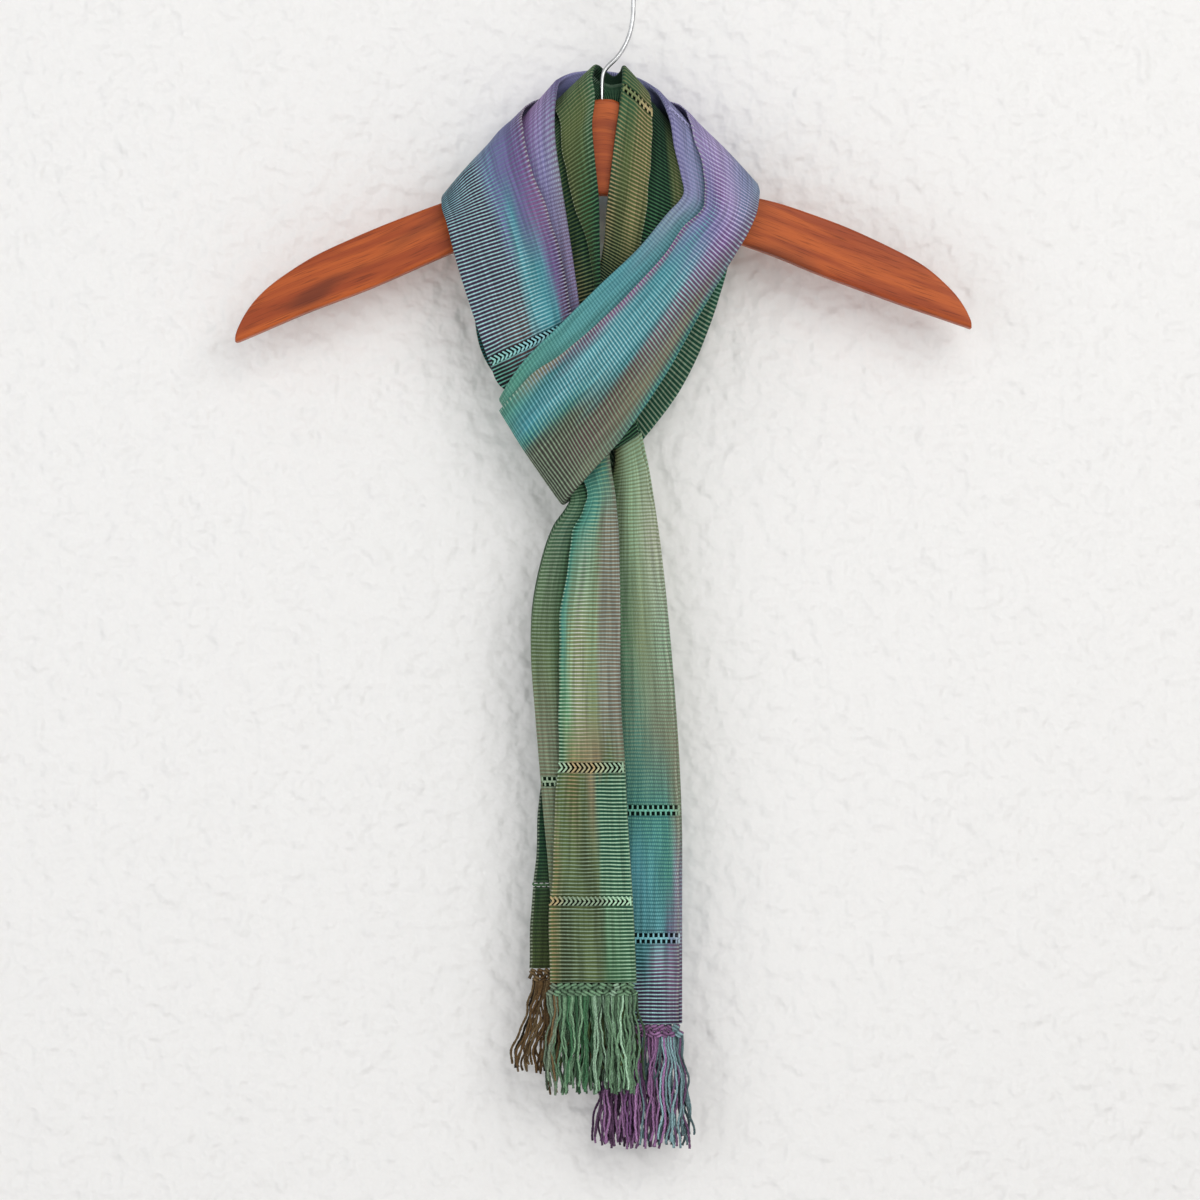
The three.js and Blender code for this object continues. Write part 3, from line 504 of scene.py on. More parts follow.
# Front panel of the left tail, from its right fold (0) to its left selvedge.
LEFT_FRONT = StripeChart((
    (1.0, ((0.0, D.SAGE, D.STONE), (0.14, D.REED, D.SEA), (0.4, D.JADE, D.SEA), (0.6, D.JADE, D.SEA))),
    (3.5, ((0.0, D.PEWTER, D.TAUPE), (0.2, D.PEWTER, D.TAUPE), (0.27, D.SAGE, D.STONE), (0.4, D.MINT, D.SEA),
           (0.56, D.JADE, D.SEA), (0.66, D.JADE, D.BOTTLE))),
    (6.5, ((0.0, D.PEWTER, D.TERRACOTTA), (0.22, D.PEWTER, D.TAUPE), (0.3, D.MINT, D.MOSS), (0.48, D.CREAM, D.MOSS),
           (0.57, D.MINT, D.MOSS), (0.64, D.JADE, D.SEA), (0.69, D.MINT, D.BOTTLE))),
    (8.0, ((0.0, D.PEWTER, D.TERRACOTTA), (0.22, D.PEWTER, D.TAUPE), (0.3, D.SAGE, D.MOSS), (0.5, D.CREAM, D.MOSS),
           (0.64, D.MINT, D.LEAF), (0.74, D.MINT, D.BOTTLE))),
    (9.0, ((0.0, D.SAGE, D.TAUPE), (0.2, D.SAGE, D.OLIVE), (0.3, D.TAN, D.TAUPE), (0.62, D.TAN, D.MOSS), (0.72, D.MINT, D.FERN))),
    (9.35, ((0.0, D.MINT, D.BOTTLE), (0.34, D.MINT, D.BOTTLE), (0.39, D.TAN, D.TAUPE), (0.5, D.SAGE, D.OLIVE),
            (0.62, D.TAN, D.OLIVE), (0.78, D.SAGE, D.OLIVE), (0.9, D.TAN, D.MOSS))),
    (11.0, ((0.0, D.MINT, D.BOTTLE), (0.36, D.MINT, D.BOTTLE), (0.4, D.SAGE, D.OLIVE), (0.52, D.SAGE, D.DARK_OLIVE),
            (0.66, D.SAGE, D.OLIVE), (0.8, D.SAGE, D.OLIVE), (0.92, D.TAN, D.OLIVE))),
    (11.7, ((0.0, D.MINT, D.BOTTLE), (0.3, D.MINT, D.FERN), (0.4, D.SAGE, D.DARK_OLIVE), (0.6, D.SAGE, D.OLIVE),
            (0.85, D.SAGE, D.DARK_OLIVE), (0.97, D.TAN, D.OLIVE))),
    (13.0, ((0.0, D.MINT, D.FERN), (0.3, D.REED, D.FERN), (0.45, D.SAGE, D.OLIVE), (0.9, D.SAGE, D.DARK_OLIVE),
            (0.98, D.TAN, D.OLIVE))),
))

# Middle layer of the left tail, which shows at the left of the front panel.
LEFT_MIDDLE = StripeChart((
    (1.0, ((0.5, D.LEAF, D.DARK_BOTTLE), (1.0, D.REED, D.FERN))),
    (4.0, ((0.6, D.LEAF, D.DARK_BOTTLE), (0.85, D.SAGE, D.BOTTLE), (1.0, D.SAGE, D.FERN))),
    (7.0, ((0.6, D.LEAF, D.DARK_OLIVE), (0.85, D.SAGE, D.OLIVE), (1.0, D.SAGE, D.OLIVE))),
    (8.4, ((0.6, D.SAGE, D.DARK_OLIVE), (1.0, D.SAGE, D.TAUPE))),
    (13.0, ((0.6, D.SAGE, D.DARK_OLIVE), (1.0, D.SAGE, D.OLIVE))),
))

# Rear layers of the left tail.
LEFT_REAR = StripeChart((
    (8.0, ((0.0, D.LEAF, D.DARK_BOTTLE), (1.2, D.FERN, D.DARK_BOTTLE))),
    (11.0, ((0.0, D.LEAF, D.DARK_BOTTLE), (1.2, D.FERN, D.DARK_BOTTLE))),
    (13.0, ((0.0, D.MOSS, D.DARK_OLIVE), (1.2, D.OLIVE, D.DARK_OLIVE))),
))

# Front panel of the right tail, from its right edge (0) to its left fold.
RIGHT_FRONT = StripeChart((
    (1.0, ((0.1, D.MINT, D.MOSS), (0.5, D.MINT, D.MOSS), (1.0, D.MOSS, D.DARK_OLIVE))),
    (4.0, ((0.1, D.CREAM, D.MOSS), (0.5, D.MINT, D.MOSS), (0.72, D.SAGE, D.OLIVE), (0.85, D.LEAF, D.DARK_BOTTLE), (1.0, D.LEAF, D.DARK_BOTTLE))),
    (6.0, ((0.1, D.MINT, D.STONE), (0.4, D.SAGE, D.MOSS), (0.65, D.SAGE, D.LEAF), (0.82, D.LEAF, D.DARK_BOTTLE), (1.0, D.LEAF, D.DARK_BOTTLE))),
    (7.5, ((0.05, D.SAGE, D.TAUPE), (0.26, D.SAGE, D.STONE), (0.5, D.SAGE, D.SEA), (1.0, D.LEAF, D.DARK_BOTTLE))),
    (8.7, ((0.05, D.SAGE, D.STONE), (0.18, D.JADE, D.TEAL), (0.55, D.JADE, D.TEAL), (1.0, D.SEA, D.DEEP_TEAL))),
    (9.6, ((0.05, D.SKY, D.MAUVE), (0.13, D.JADE, D.TEAL), (0.55, D.AQUA, D.TURQUOISE), (1.0, D.SEA, D.DEEP_TEAL))),
    (10.5, ((0.05, D.SKY, D.MAUVE), (0.14, D.SLATE, D.MAUVE), (0.24, D.AQUA, D.TEAL), (1.0, D.AQUA, D.TEAL))),
    (11.1, ((0.05, D.SKY, D.MAUVE), (0.3, D.PALE_AQUA, D.MAUVE), (0.5, D.AQUA, D.DEEP_TEAL), (1.0, D.AQUA, D.DEEP_TEAL))),
    (11.5, ((0.05, D.SKY, D.MAUVE), (0.3, D.PALE_AQUA, D.PLUM), (0.7, D.PALE_AQUA, D.PLUM), (1.0, D.AQUA, D.PLUM))),
    (12.0, ((0.05, D.SKY, D.PLUM), (0.3, D.PALE_AQUA, D.PLUM), (0.7, D.PALE_AQUA, D.PLUM), (1.0, D.AQUA, D.PLUM))),
))


# ---------------------------------------------------------------------------------------
# Materials
# ---------------------------------------------------------------------------------------


class Nodes:
    """A small builder for node trees: adds nodes, links them and keeps the code short."""

    def __init__(self, tree: bpy.types.NodeTree) -> None:
        """Args:
        tree: the node tree to build in.
        """
        self.tree = tree

    def add(self, kind: str, inputs: dict[str | int, object] | None = None, **settings: object) -> bpy.types.Node:
        """Adds a node.

        Args:
            kind: the node's type name.
            inputs: values or output sockets for its inputs, by name or number.
            **settings: properties of the node.

        Returns:
            The new node.
        """
        node = self.tree.nodes.new(kind)
        for key, value in settings.items():
            setattr(node, key, value)
        for key, value in (inputs or {}).items():
            if isinstance(value, bpy.types.NodeSocket):
                self.tree.links.new(value, node.inputs[key])
            else:
                node.inputs[key].default_value = value
        return node

    def math(self, operation: str, a: object, b: object = 0.0, c: object = 0.0) -> bpy.types.NodeSocket:
        """Adds a Math node and returns its output."""
        return self.add("ShaderNodeMath", {0: a, 1: b, 2: c}, operation=operation).outputs[0]

    def blend(self, share: object, a: object, b: object, mode: str = "MIX") -> bpy.types.NodeSocket:
        """Adds a colour Mix node and returns its colour."""
        node = self.add("ShaderNodeMix", data_type="RGBA", blend_type=mode)
        for index, value in ((0, share), (6, a), (7, b)):
            if isinstance(value, bpy.types.NodeSocket):
                self.tree.links.new(value, node.inputs[index])
            else:
                node.inputs[index].default_value = value
        return node.outputs[2]

    def span(self, value: object, low: float, high: float, to_low: float = 0.0, to_high: float = 1.0) -> bpy.types.NodeSocket:
        """Adds a smooth Map Range node and returns its result."""
        inputs = {0: value, 1: low, 2: high, 3: to_low, 4: to_high}
        return self.add("ShaderNodeMapRange", inputs, interpolation_type="SMOOTHSTEP").outputs[0]


def new_group(name: str, inputs: Sequence[tuple[str, str, object]], outputs: Sequence[tuple[str, str]]) -> tuple:
    """Starts a shader node group.

    Args:
        name: the group's name.
        inputs: name, socket type and default value of each input.
        outputs: name and socket type of each output.

    Returns:
        The group, its builder, its input node and its output node.
    """
    group = bpy.data.node_groups.new(name, "ShaderNodeTree")
    for label, kind, value in inputs:
        socket = group.interface.new_socket(label, in_out="INPUT", socket_type=kind)
        if value is not None:
            socket.default_value = value
    for label, kind in outputs:
        group.interface.new_socket(label, in_out="OUTPUT", socket_type=kind)
    nodes = Nodes(group)
    return group, nodes, nodes.add("NodeGroupInput"), nodes.add("NodeGroupOutput")


def weave_group() -> bpy.types.NodeTree:
    """Makes the shared weave: bold ribs on the face, fine dots on the reverse, and streaks
    where the dye ran along the warp.

    Returns:
        The group, which turns crest and ground colours into a colour and a height.
    """
    group, nodes, source, sink = new_group(
        "ribbed_weave",
        (
            ("Vector", "NodeSocketVector", None),
            ("Crest", "NodeSocketColor", (0.5, 0.5, 0.5, 1.0)),
            ("Ground", "NodeSocketColor", (0.2, 0.2, 0.2, 1.0)),
            ("Bold", "NodeSocketFloat", 1.0),
            ("Rib pitch", "NodeSocketFloat", 0.0022),
            ("Thread pitch", "NodeSocketFloat", 0.0011),
        ),
        (("Colour", "NodeSocketColor"), ("Height", "NodeSocketFloat")),
    )
    axes = nodes.add("ShaderNodeSeparateXYZ", {0: source.outputs["Vector"]})
    wander = nodes.add("ShaderNodeTexNoise", {"Vector": source.outputs["Vector"], "Scale": 60.0, "Detail": 1.0})
    drift = nodes.math("MULTIPLY", nodes.math("SUBTRACT", wander.outputs["Fac"], 0.5), 0.0011)
    along = nodes.math("DIVIDE", nodes.math("ADD", axes.outputs["Y"], drift), source.outputs["Rib pitch"])
    rib = nodes.math("SINE", nodes.math("MULTIPLY", along, 2 * math.pi))
    weft = nodes.math("SINE", nodes.math("ADD", nodes.math("MULTIPLY", along, math.pi), math.pi / 4))
    across = nodes.math("DIVIDE", axes.outputs["X"], source.outputs["Thread pitch"])
    uneven = nodes.add("ShaderNodeTexNoise", {"Vector": source.outputs["Vector"], "Scale": 420.0, "Detail": 1.0})
    shift = nodes.math("MULTIPLY", uneven.outputs["Fac"], 7.0)
    warp = nodes.math("SINE", nodes.math("ADD", nodes.math("MULTIPLY", across, 2 * math.pi), shift))
    crest = nodes.span(rib, -0.05, 0.85)
    face = nodes.math("MULTIPLY", crest, nodes.span(warp, -1.0, 0.4, 0.86, 1.0))
    bead = nodes.span(nodes.math("MULTIPLY", weft, warp), -0.3, 0.6, 0.1, 1.0)
    row = nodes.span(rib, -0.7, 0.6, 0.25, 1.0)
    reverse = nodes.math("MULTIPLY", nodes.math("ADD", nodes.math("MULTIPLY", bead, 0.5), 0.5), row)
    lit = nodes.add("ShaderNodeMix", {0: source.outputs["Bold"], 2: reverse, 3: face}, data_type="FLOAT").outputs[0]
    stretched = nodes.add("ShaderNodeMapping", {"Vector": source.outputs["Vector"], "Scale": (560.0, 18.0, 1.0)})
    streak = nodes.add("ShaderNodeTexNoise", {"Vector": stretched.outputs[0], "Scale": 1.0, "Detail": 2.0, "Roughness": 0.6})
    level = nodes.span(streak.outputs["Fac"], 0.3, 0.7, 0.78, 1.2)
    woven = nodes.blend(lit, source.outputs["Ground"], source.outputs["Crest"])
    toned = nodes.add("ShaderNodeVectorMath", {0: woven, "Scale": level}, operation="SCALE")
    nodes.tree.links.new(toned.outputs[0], sink.inputs["Colour"])
    nodes.tree.links.new(lit, sink.inputs["Height"])
    return group


def new_material(name: str) -> tuple[bpy.types.Material, Nodes, bpy.types.Node]:
    """Starts a node material.

    Args:
        name: the material's name.

    Returns:
        The material, its node builder and its Principled BSDF.
    """
    material = bpy.data.materials.new(name)
    material.use_nodes = True
    nodes = Nodes(material.node_tree)
    return material, nodes, material.node_tree.nodes["Principled BSDF"]


@dataclass(frozen=True)
class ClothFinish:
    """Hand-woven cotton with ribs that catch the light and paler turns at its free edges."""

    name: str = "woven_cotton"
    roughness: float = 0.85
    sheen: float = 0.04
    relief: float = 0.0006
    edge_thread: Colour = srgb(196, 206, 186)

    def material(self, weave: bpy.types.NodeTree) -> bpy.types.Material:
        """Returns the cloth material, which reads the dye attributes, painted shade included, and the weave map."""
        material, nodes, shader = new_material(self.name)
        crest = nodes.add("ShaderNodeAttribute", attribute_name="crest")
        ground = nodes.add("ShaderNodeAttribute", attribute_name="ground")
        bold = nodes.add("ShaderNodeAttribute", attribute_name="bold")
        rim = nodes.add("ShaderNodeAttribute", attribute_name="rim")
        place = nodes.add("ShaderNodeUVMap", uv_map="weave")
        edge = nodes.math("MULTIPLY", nodes.span(rim.outputs["Fac"], 0.35, 0.8), 0.4)
        tip = nodes.blend(edge, crest.outputs["Color"], (*self.edge_thread, 1.0))
        cloth = nodes.add("ShaderNodeGroup")
        cloth.node_tree = weave
        links = nodes.tree.links
        links.new(place.outputs[0], cloth.inputs["Vector"])
        links.new(tip, cloth.inputs["Crest"])
        links.new(ground.outputs["Color"], cloth.inputs["Ground"])
        links.new(bold.outputs["Fac"], cloth.inputs["Bold"])
        links.new(cloth.outputs["Colour"], shader.inputs["Base Color"])
        bump = nodes.add("ShaderNodeBump", {"Strength": 0.8, "Distance": self.relief, "Height": cloth.outputs["Height"]})
        links.new(bump.outputs[0], shader.inputs["Normal"])
        shader.inputs["Roughness"].default_value = self.roughness
        shader.inputs["Sheen Weight"].default_value = self.sheen
        shader.inputs["Sheen Roughness"].default_value = 0.5
        shader.inputs["Specular IOR Level"].default_value = 0.12
        return material


@dataclass(frozen=True)
class YarnFinish:
    """Twisted cotton yarn, coloured strand by strand, with painted shade in each strand's colour and on its sides."""

    name: str = "twisted_yarn"
    roughness: float = 0.85

    def material(self) -> bpy.types.Material:
        """Returns the yarn material, which reads the strand's dye with its painted shade, and darkens the yarn's sides
        and brightens its middle as painted shade and highlight.
        """
        material, nodes, shader = new_material(self.name)
        # The "dye" attribute is each strand's dye with painted shade: darker ply grooves, knot grooves and back yarns.
        dye = nodes.add("ShaderNodeAttribute", attribute_name="dye")
        place = nodes.add("ShaderNodeTexCoord")
        fuzz = nodes.add("ShaderNodeTexNoise", {"Vector": place.outputs["Object"], "Scale": 1400.0, "Detail": 2.0})
        turned = nodes.add("ShaderNodeLayerWeight", {"Blend": 0.5})
        # Painted shade and highlight: the yarn's sides, turned from the camera, are darkened and its middle is
        # brightened.
        painted_facing_shade = nodes.span(turned.outputs["Facing"], 0.25, 0.85, 1.25, 0.3)
        tone_and_painted_shade = nodes.math("MULTIPLY", nodes.span(fuzz.outputs["Fac"], 0.3, 0.7, 0.75, 1.2), painted_facing_shade)
        colour = nodes.add("ShaderNodeVectorMath", {0: dye.outputs["Color"], "Scale": tone_and_painted_shade}, operation="SCALE")
        links = nodes.tree.links
        links.new(colour.outputs[0], shader.inputs["Base Color"])
        bump = nodes.add("ShaderNodeBump", {"Strength": 0.5, "Distance": 0.0003, "Height": fuzz.outputs["Fac"]})
        links.new(bump.outputs[0], shader.inputs["Normal"])
        shader.inputs["Roughness"].default_value = self.roughness
        shader.inputs["Sheen Weight"].default_value = 0.04
        shader.inputs["Specular IOR Level"].default_value = 0.2
        return material


@dataclass(frozen=True)
class WoodFinish:
    """Oiled hardwood: warm orange brown with darker grain along the arms."""

    name: str = "oiled_hardwood"
    light: Colour = srgb(184, 88, 32)
    warm: Colour = srgb(150, 62, 20)
    dark: Colour = srgb(70, 26, 10)

    def material(self) -> bpy.types.Material:
        """Returns the wood material, whose grain follows the board's own map."""
        material, nodes, shader = new_material(self.name)
        place = nodes.add("ShaderNodeUVMap", uv_map="grain")
        broad = nodes.add("ShaderNodeMapping", {"Vector": place.outputs[0], "Scale": (9.0, 120.0, 1.0)})
        bands = nodes.add("ShaderNodeTexNoise", {"Vector": broad.outputs[0], "Scale": 1.0, "Detail": 3.0, "Distortion": 0.6})
        fine = nodes.add("ShaderNodeMapping", {"Vector": place.outputs[0], "Scale": (60.0, 1500.0, 1.0)})
        pores = nodes.add("ShaderNodeTexNoise", {"Vector": fine.outputs[0], "Scale": 1.0, "Detail": 2.0})
        patch = nodes.add("ShaderNodeMapping", {"Vector": place.outputs[0], "Scale": (14.0, 40.0, 1.0)})
        figure = nodes.add("ShaderNodeTexNoise", {"Vector": patch.outputs[0], "Scale": 1.0, "Detail": 1.0})
        body = nodes.blend(nodes.span(bands.outputs["Fac"], 0.35, 0.65), (*self.light, 1), (*self.warm, 1))
        body = nodes.blend(nodes.span(figure.outputs["Fac"], 0.54, 0.74, 0.0, 0.6), body, (*self.dark, 1))
        body = nodes.blend(nodes.span(pores.outputs["Fac"], 0.5, 0.75, 0.05, 0.6), body, (*self.dark, 1))
        links = nodes.tree.links
        links.new(body, shader.inputs["Base Color"])
        rough = nodes.span(pores.outputs["Fac"], 0.3, 0.7, 0.42, 0.58)
        links.new(rough, shader.inputs["Roughness"])
        bump = nodes.add("ShaderNodeBump", {"Strength": 0.25, "Distance": 0.0002, "Height": pores.outputs["Fac"]})
        links.new(bump.outputs[0], shader.inputs["Normal"])
        shader.inputs["Coat Weight"].default_value = 0.05
        shader.inputs["Specular IOR Level"].default_value = 0.3
        shader.inputs["Coat Roughness"].default_value = 0.3
        return material


@dataclass(frozen=True)
class SteelFinish:
    """Bright drawn wire with faint lengthwise scuffs."""

    name: str = "drawn_steel"
    colour: Colour = (0.62, 0.63, 0.64)

    def material(self) -> bpy.types.Material:
        """Returns the steel material."""
        material, nodes, shader = new_material(self.name)
        place = nodes.add("ShaderNodeTexCoord")
        scuff = nodes.add("ShaderNodeTexNoise", {"Vector": place.outputs["Object"], "Scale": 260.0, "Detail": 3.0})
        links = nodes.tree.links
        links.new(nodes.span(scuff.outputs["Fac"], 0.3, 0.7, 0.2, 0.36), shader.inputs["Roughness"])
        tint = nodes.blend(nodes.span(scuff.outputs["Fac"], 0.45, 0.7, 0.0, 0.4), (*self.colour, 1), (0.4, 0.41, 0.42, 1))
        links.new(tint, shader.inputs["Base Color"])
        shader.inputs["Metallic"].default_value = 1.0
        return material


# ---------------------------------------------------------------------------------------
# Cloth
# ---------------------------------------------------------------------------------------


class Fold(Enum):
    """How a stretch of the scarf is folded along its length."""

    IN_THREE = "in three"
    LEFT_TAIL = "left tail"
    RIGHT_TAIL = "right tail"

    @property
    def level(self) -> int:
        """The level of the first layer over the middle one."""
        return 1 if self is Fold.IN_THREE else 2

    @property
    def last_layer(self) -> int:
        """The number of the last layer, counted from 0."""
        return 2 if self is Fold.IN_THREE else 3

    def turns(self, row: Row) -> list[float]:
        """Returns where the layers start, turn and end at a rib line."""
        if self is Fold.IN_THREE:
            return [row.front, 1.0, 0.0, row.back]
        if self is Fold.LEFT_TAIL:
            return [row.front, 0.08, 1.0, 0.0, row.back]
        return [row.back, 1.0, 0.0, 1.0, row.front]


@dataclass(frozen=True)
class Column:
    """One lengthwise line of the cloth: its layer, and its share of that layer or, past a
    layer's end, of the half round to the next one."""

    layer: int
    share: float
    turning: bool = False


@dataclass(frozen=True)
class Crease:
    """A soft ridge between two points seen from the front, on an outer layer, between two
    places of the course."""

    start: tuple[float, float]
    end: tuple[float, float]
    height: float
    reach: float
    first: float
    last: float

    def lift(self, place: float, x: float, z: float) -> float:
        """Returns the lift at a place of the course and a point seen from the front."""
        fade = smooth(place, self.first - 0.6, self.first) * (1 - smooth(place, self.last, self.last + 0.6))
        if fade <= 0:
            return 0.0
        dx, dz = self.end[0] - self.start[0], self.end[1] - self.start[1]
        length = math.hypot(dx, dz)
        along = ((x - self.start[0]) * dx + (z - self.start[1]) * dz) / (length * length)
        off = ((x - self.start[0]) * dz - (z - self.start[1]) * dx) / length
        run = max(0.0, -along, along - 1) * length
        return self.height * fade * math.exp(-((off / self.reach) ** 2) - (run / (self.reach * 1.6)) ** 2)


class Lace(Enum):
    """How an openwork line is twisted: seen on the cloth's face or on its reverse."""

    CHEVRON = "chevron"
    LATTICE = "lattice"


@dataclass(frozen=True)
class Openwork:
    """One line of openwork across a layer: the cloth is open between two rib lines, and
    twisted threads bridge the gap. "under" is the layer that shows through, painted dark there as shade."""

    place: float
    layer: int
    under: int
    side: int
    lace: Lace
    low: float = 0.0
    high: float = 1.0
    height: float = 5.6


@dataclass
class FoldedCloth:
    """One continuous stretch of the folded scarf, as a thin shell."""

    name: str
    course: Course
    fold: Fold
    charts: Sequence[StripeChart]
    bold: Callable[[int, float], float]
    upper_puff: Callable[[float], float] = lambda place: 0.0
    lower_puff: Callable[[float], float] = lambda place: 0.0
    creases: Sequence[Crease] = ()
    openwork: Sequence[Openwork] = ()
    hem_rise: float = 0.0
    pitch: float = 2.2
    wall: float = 0.8
    step: float = 2.9
    layer_steps: int = 20
    turn_steps: int = 3
    selvedge: tuple[float, ...] = (0.0, 0.018, 0.04)

    def columns(self) -> list[Column]:
        """Returns the lengthwise lines from the first free edge to the last."""
        found = []
        last = self.fold.last_layer
        for layer in range(last + 1):
            shares = [i / self.layer_steps for i in range(self.layer_steps + 1)]
            if layer == 0:
                shares = [*self.selvedge, *shares[1:]]
            if layer == last:
                shares = [*shares[:-1], *(1 - share for share in reversed(self.selvedge))]
            found += [Column(layer, share) for share in shares]
            if layer < last:
                count = self.turn_steps + 1
                found += [Column(layer, i / count, True) for i in range(1, count)]
        return found

    def flat_place(self, section: Section, column: Column) -> tuple[float, float, float]:
        """Returns a column's distance across, its level and its share of the full width."""
        turns = self.fold.turns(section.row)
        radius = self.pitch / 2
        height = (self.fold.level - column.layer) * self.pitch
        start, end = turns[column.layer], turns[column.layer + 1]
        heading = 1.0 if end > start else -1.0
        if column.turning:
            angle = math.pi * column.share
            across = end * section.width - radius * heading * (1 - math.sin(angle))
            return across, height - radius * (1 - math.cos(angle)), across / section.width
        low = start * section.width + (radius * heading if column.layer > 0 else 0.0)
        last = column.layer == self.fold.last_layer
        high = end * section.width - (0.0 if last else radius * heading)
        across = mix(low, high, column.share)
        return across, height, across / section.width

    def edge_share(self, column: Column) -> float:
        """Returns 1 on a free edge of the cloth, fading to 0 a fifth of a layer away."""
        if column.turning:
            return 0.0
        if column.layer == 0:
            return 1 - smooth(column.share, 0.0, 0.2)
        return smooth(column.share, 0.8, 1.0) if column.layer == self.fold.last_layer else 0.0

    def swell(self, place: float, column: Column, x: float, z: float) -> float:
        """Returns how far an outer layer stands off, over the middle layer's front side."""
        if column.turning or 0 < column.layer < self.fold.last_layer:
            return 0.0
        upper = column.layer == 0
        inward = column.share if upper else 1 - column.share
        puff = self.upper_puff(place) if upper else self.lower_puff(place)
        lift = sum(crease.lift(place, x, z) for crease in self.creases)
        flutter = self.edge_share(column) * min(puff, 1.0) * (0.5 + noise.noise(Vector((place * 1.9, 5.0, 0.0))))
        window = math.sin(math.pi * mix(0.12, 1.0, inward))
        return ((puff + lift) * window + flutter) * (1 if upper else -1)

    def point(self, place: float, column: Column, lift: float = 0.0, section: Section | None = None) -> Vector:
        """Returns a point of the cloth in millimetres.

        Args:
            place: the place along the course.
            column: the lengthwise line.
            lift: extra height over the cloth.
            section: the section at the place, where it is known already.

        Returns:
            The point.
        """
        section = section or self.course.section(place)
        across, level, share = self.flat_place(section, column)
        across += self.edge_share(column) * 0.9 * noise.noise(Vector((place * 1.4, column.layer * 3.7, 8.0)))
        spot = section.point(across, level)
        level += self.swell(place, column, spot.x, spot.z)
        ripple = noise.noise(Vector((share * 3.1, place * 0.55, self.course.last * 0.37))) * 0.5
        rise = self.hem_rise * place / self.course.last * smooth(level / self.pitch, 0.28, 0.48)
        return section.point(across, level + ripple + lift) + UP * rise

    def edges_of(self, lace: Openwork) -> tuple[float, float]:
        """Returns the places of an openwork line's two edges."""
        i = int(lace.place)
        half = lace.height / 2 / (self.course.knots[i + 1] - self.course.knots[i])
        return lace.place - half, lace.place + half

    def places(self) -> list[float]:
        """Returns the places of the rib lines that the shell has points on."""
        found = self.course.places(self.step)
        for lace in self.openwork:
            low, high = self.edges_of(lace)
            found = [p for p in found if not low - 0.02 < p < high + 0.02] + [low, high]
        return sorted(found)

    def dyes_and_shade_at(self, place: float, column: Column, share: float, jitter: float) -> tuple[Colour, Colour]:
        """Returns the crest and ground colours at a point of the cloth, with painted shade on a layer seen through an
        openwork line.

        Args:
            place: the place along the course.
            column: the lengthwise line.
            share: its share of the full width.
            jitter: how far the dyeing of this warp end has slipped along the cloth.

        Returns:
            The two colours.
        """
        layer = column.layer + (column.turning and column.share > 0.5)
        crest, ground = self.charts[min(layer, len(self.charts) - 1)].at(place + jitter, share)
        # Painted shade: a layer seen through an openwork gap is darkened to 0.12 of its dyes.
        shade = 1.0
        turns = self.fold.turns(self.course.row(place))
        for lace in self.openwork:
            low, high = self.edges_of(lace)
            ends = sorted(mix(turns[lace.layer], turns[lace.layer + 1], end) for end in (lace.low, lace.high))
            covered = ends[0] + 0.02 < share < ends[1] - 0.02
            if layer == lace.under and covered and low - 0.03 <= place <= high + 0.03:
                shade = 0.12
        return blend((0, 0, 0), crest, shade), blend((0, 0, 0), ground, shade)

    def build(self, material: bpy.types.Material) -> bpy.types.Object:
        """Makes the shell.

        Args:
            material: the cloth's finish.

        Returns:
            The piece, with its weave map and its dyes, painted shade included.
        """
        places, columns = self.places(), self.columns()
        sections = [self.course.section(place) for place in places]
        runs, flats = self.run_lengths(sections), self.flat_lengths(sections[len(sections) // 2], columns)
        bm = bmesh.new()
        bmesh.ops.create_grid(bm, x_segments=len(columns) - 1, y_segments=len(places) - 1, size=1.0)
        crest_layer = bm.verts.layers.float_color.new("crest")
        ground_layer = bm.verts.layers.float_color.new("ground")
        bold_layer = bm.verts.layers.float.new("bold")
        rim_layer = bm.verts.layers.float.new("rim")
        cells = {}
        for vert in bm.verts:
            i = round((vert.co.x + 1) / 2 * (len(columns) - 1))
            j = round((vert.co.y + 1) / 2 * (len(places) - 1))
            cells[vert] = (i, j)
            column, place, section = columns[i], places[j], sections[j]
            share = self.flat_place(section, column)[2]
            slip = 0.42 * noise.noise(Vector((i * 0.83, 3.0, self.course.last)))
            crest, ground = self.dyes_and_shade_at(place, column, share, slip)
            vert[crest_layer], vert[ground_layer] = (*crest, 1.0), (*ground, 1.0)
            vert[bold_layer] = self.bold(column.layer, place)
            vert[rim_layer] = 1.0 if i in (0, 1, len(columns) - 1, len(columns) - 2) else 0.0
            vert.co = self.point(place, column, section=section) * MM
        weave = bm.loops.layers.uv.new("weave")
        for face in bm.faces:
            for loop in face.loops:
                i, j = cells[loop.vert]
                loop[weave].uv = (flats[i] * MM, runs[j] * MM)
        self.open_up(bm, cells, places, columns)
        piece = finish_object(self.name, bm, [material])
        shell = piece.modifiers.new("wall", "SOLIDIFY")
        shell.thickness = self.wall * MM
        shell.offset = 0.0
        return piece

    def open_up(
        self, bm: bmesh.types.BMesh, cells: dict, places: Sequence[float], columns: Sequence[Column]
    ) -> None:
        """Takes the cloth out of its openwork lines.

        Args:
            bm: the sheet.
            cells: each vertex's column and row number.
            places: the rows' places.
            columns: the columns.
        """
        gone = []
        for lace in self.openwork:
            low, high = self.edges_of(lace)
            for face in bm.faces:
                spots = [cells[vert] for vert in face.verts]
                inside = all(low - 1e-6 <= places[j] <= high + 1e-6 for _, j in spots)
                if inside and all(
                    columns[i].layer == lace.layer and not columns[i].turning
                    and lace.low <= columns[i].share <= lace.high for i, _ in spots
                ):
                    gone.append(face)
        bmesh.ops.delete(bm, geom=gone, context="FACES")

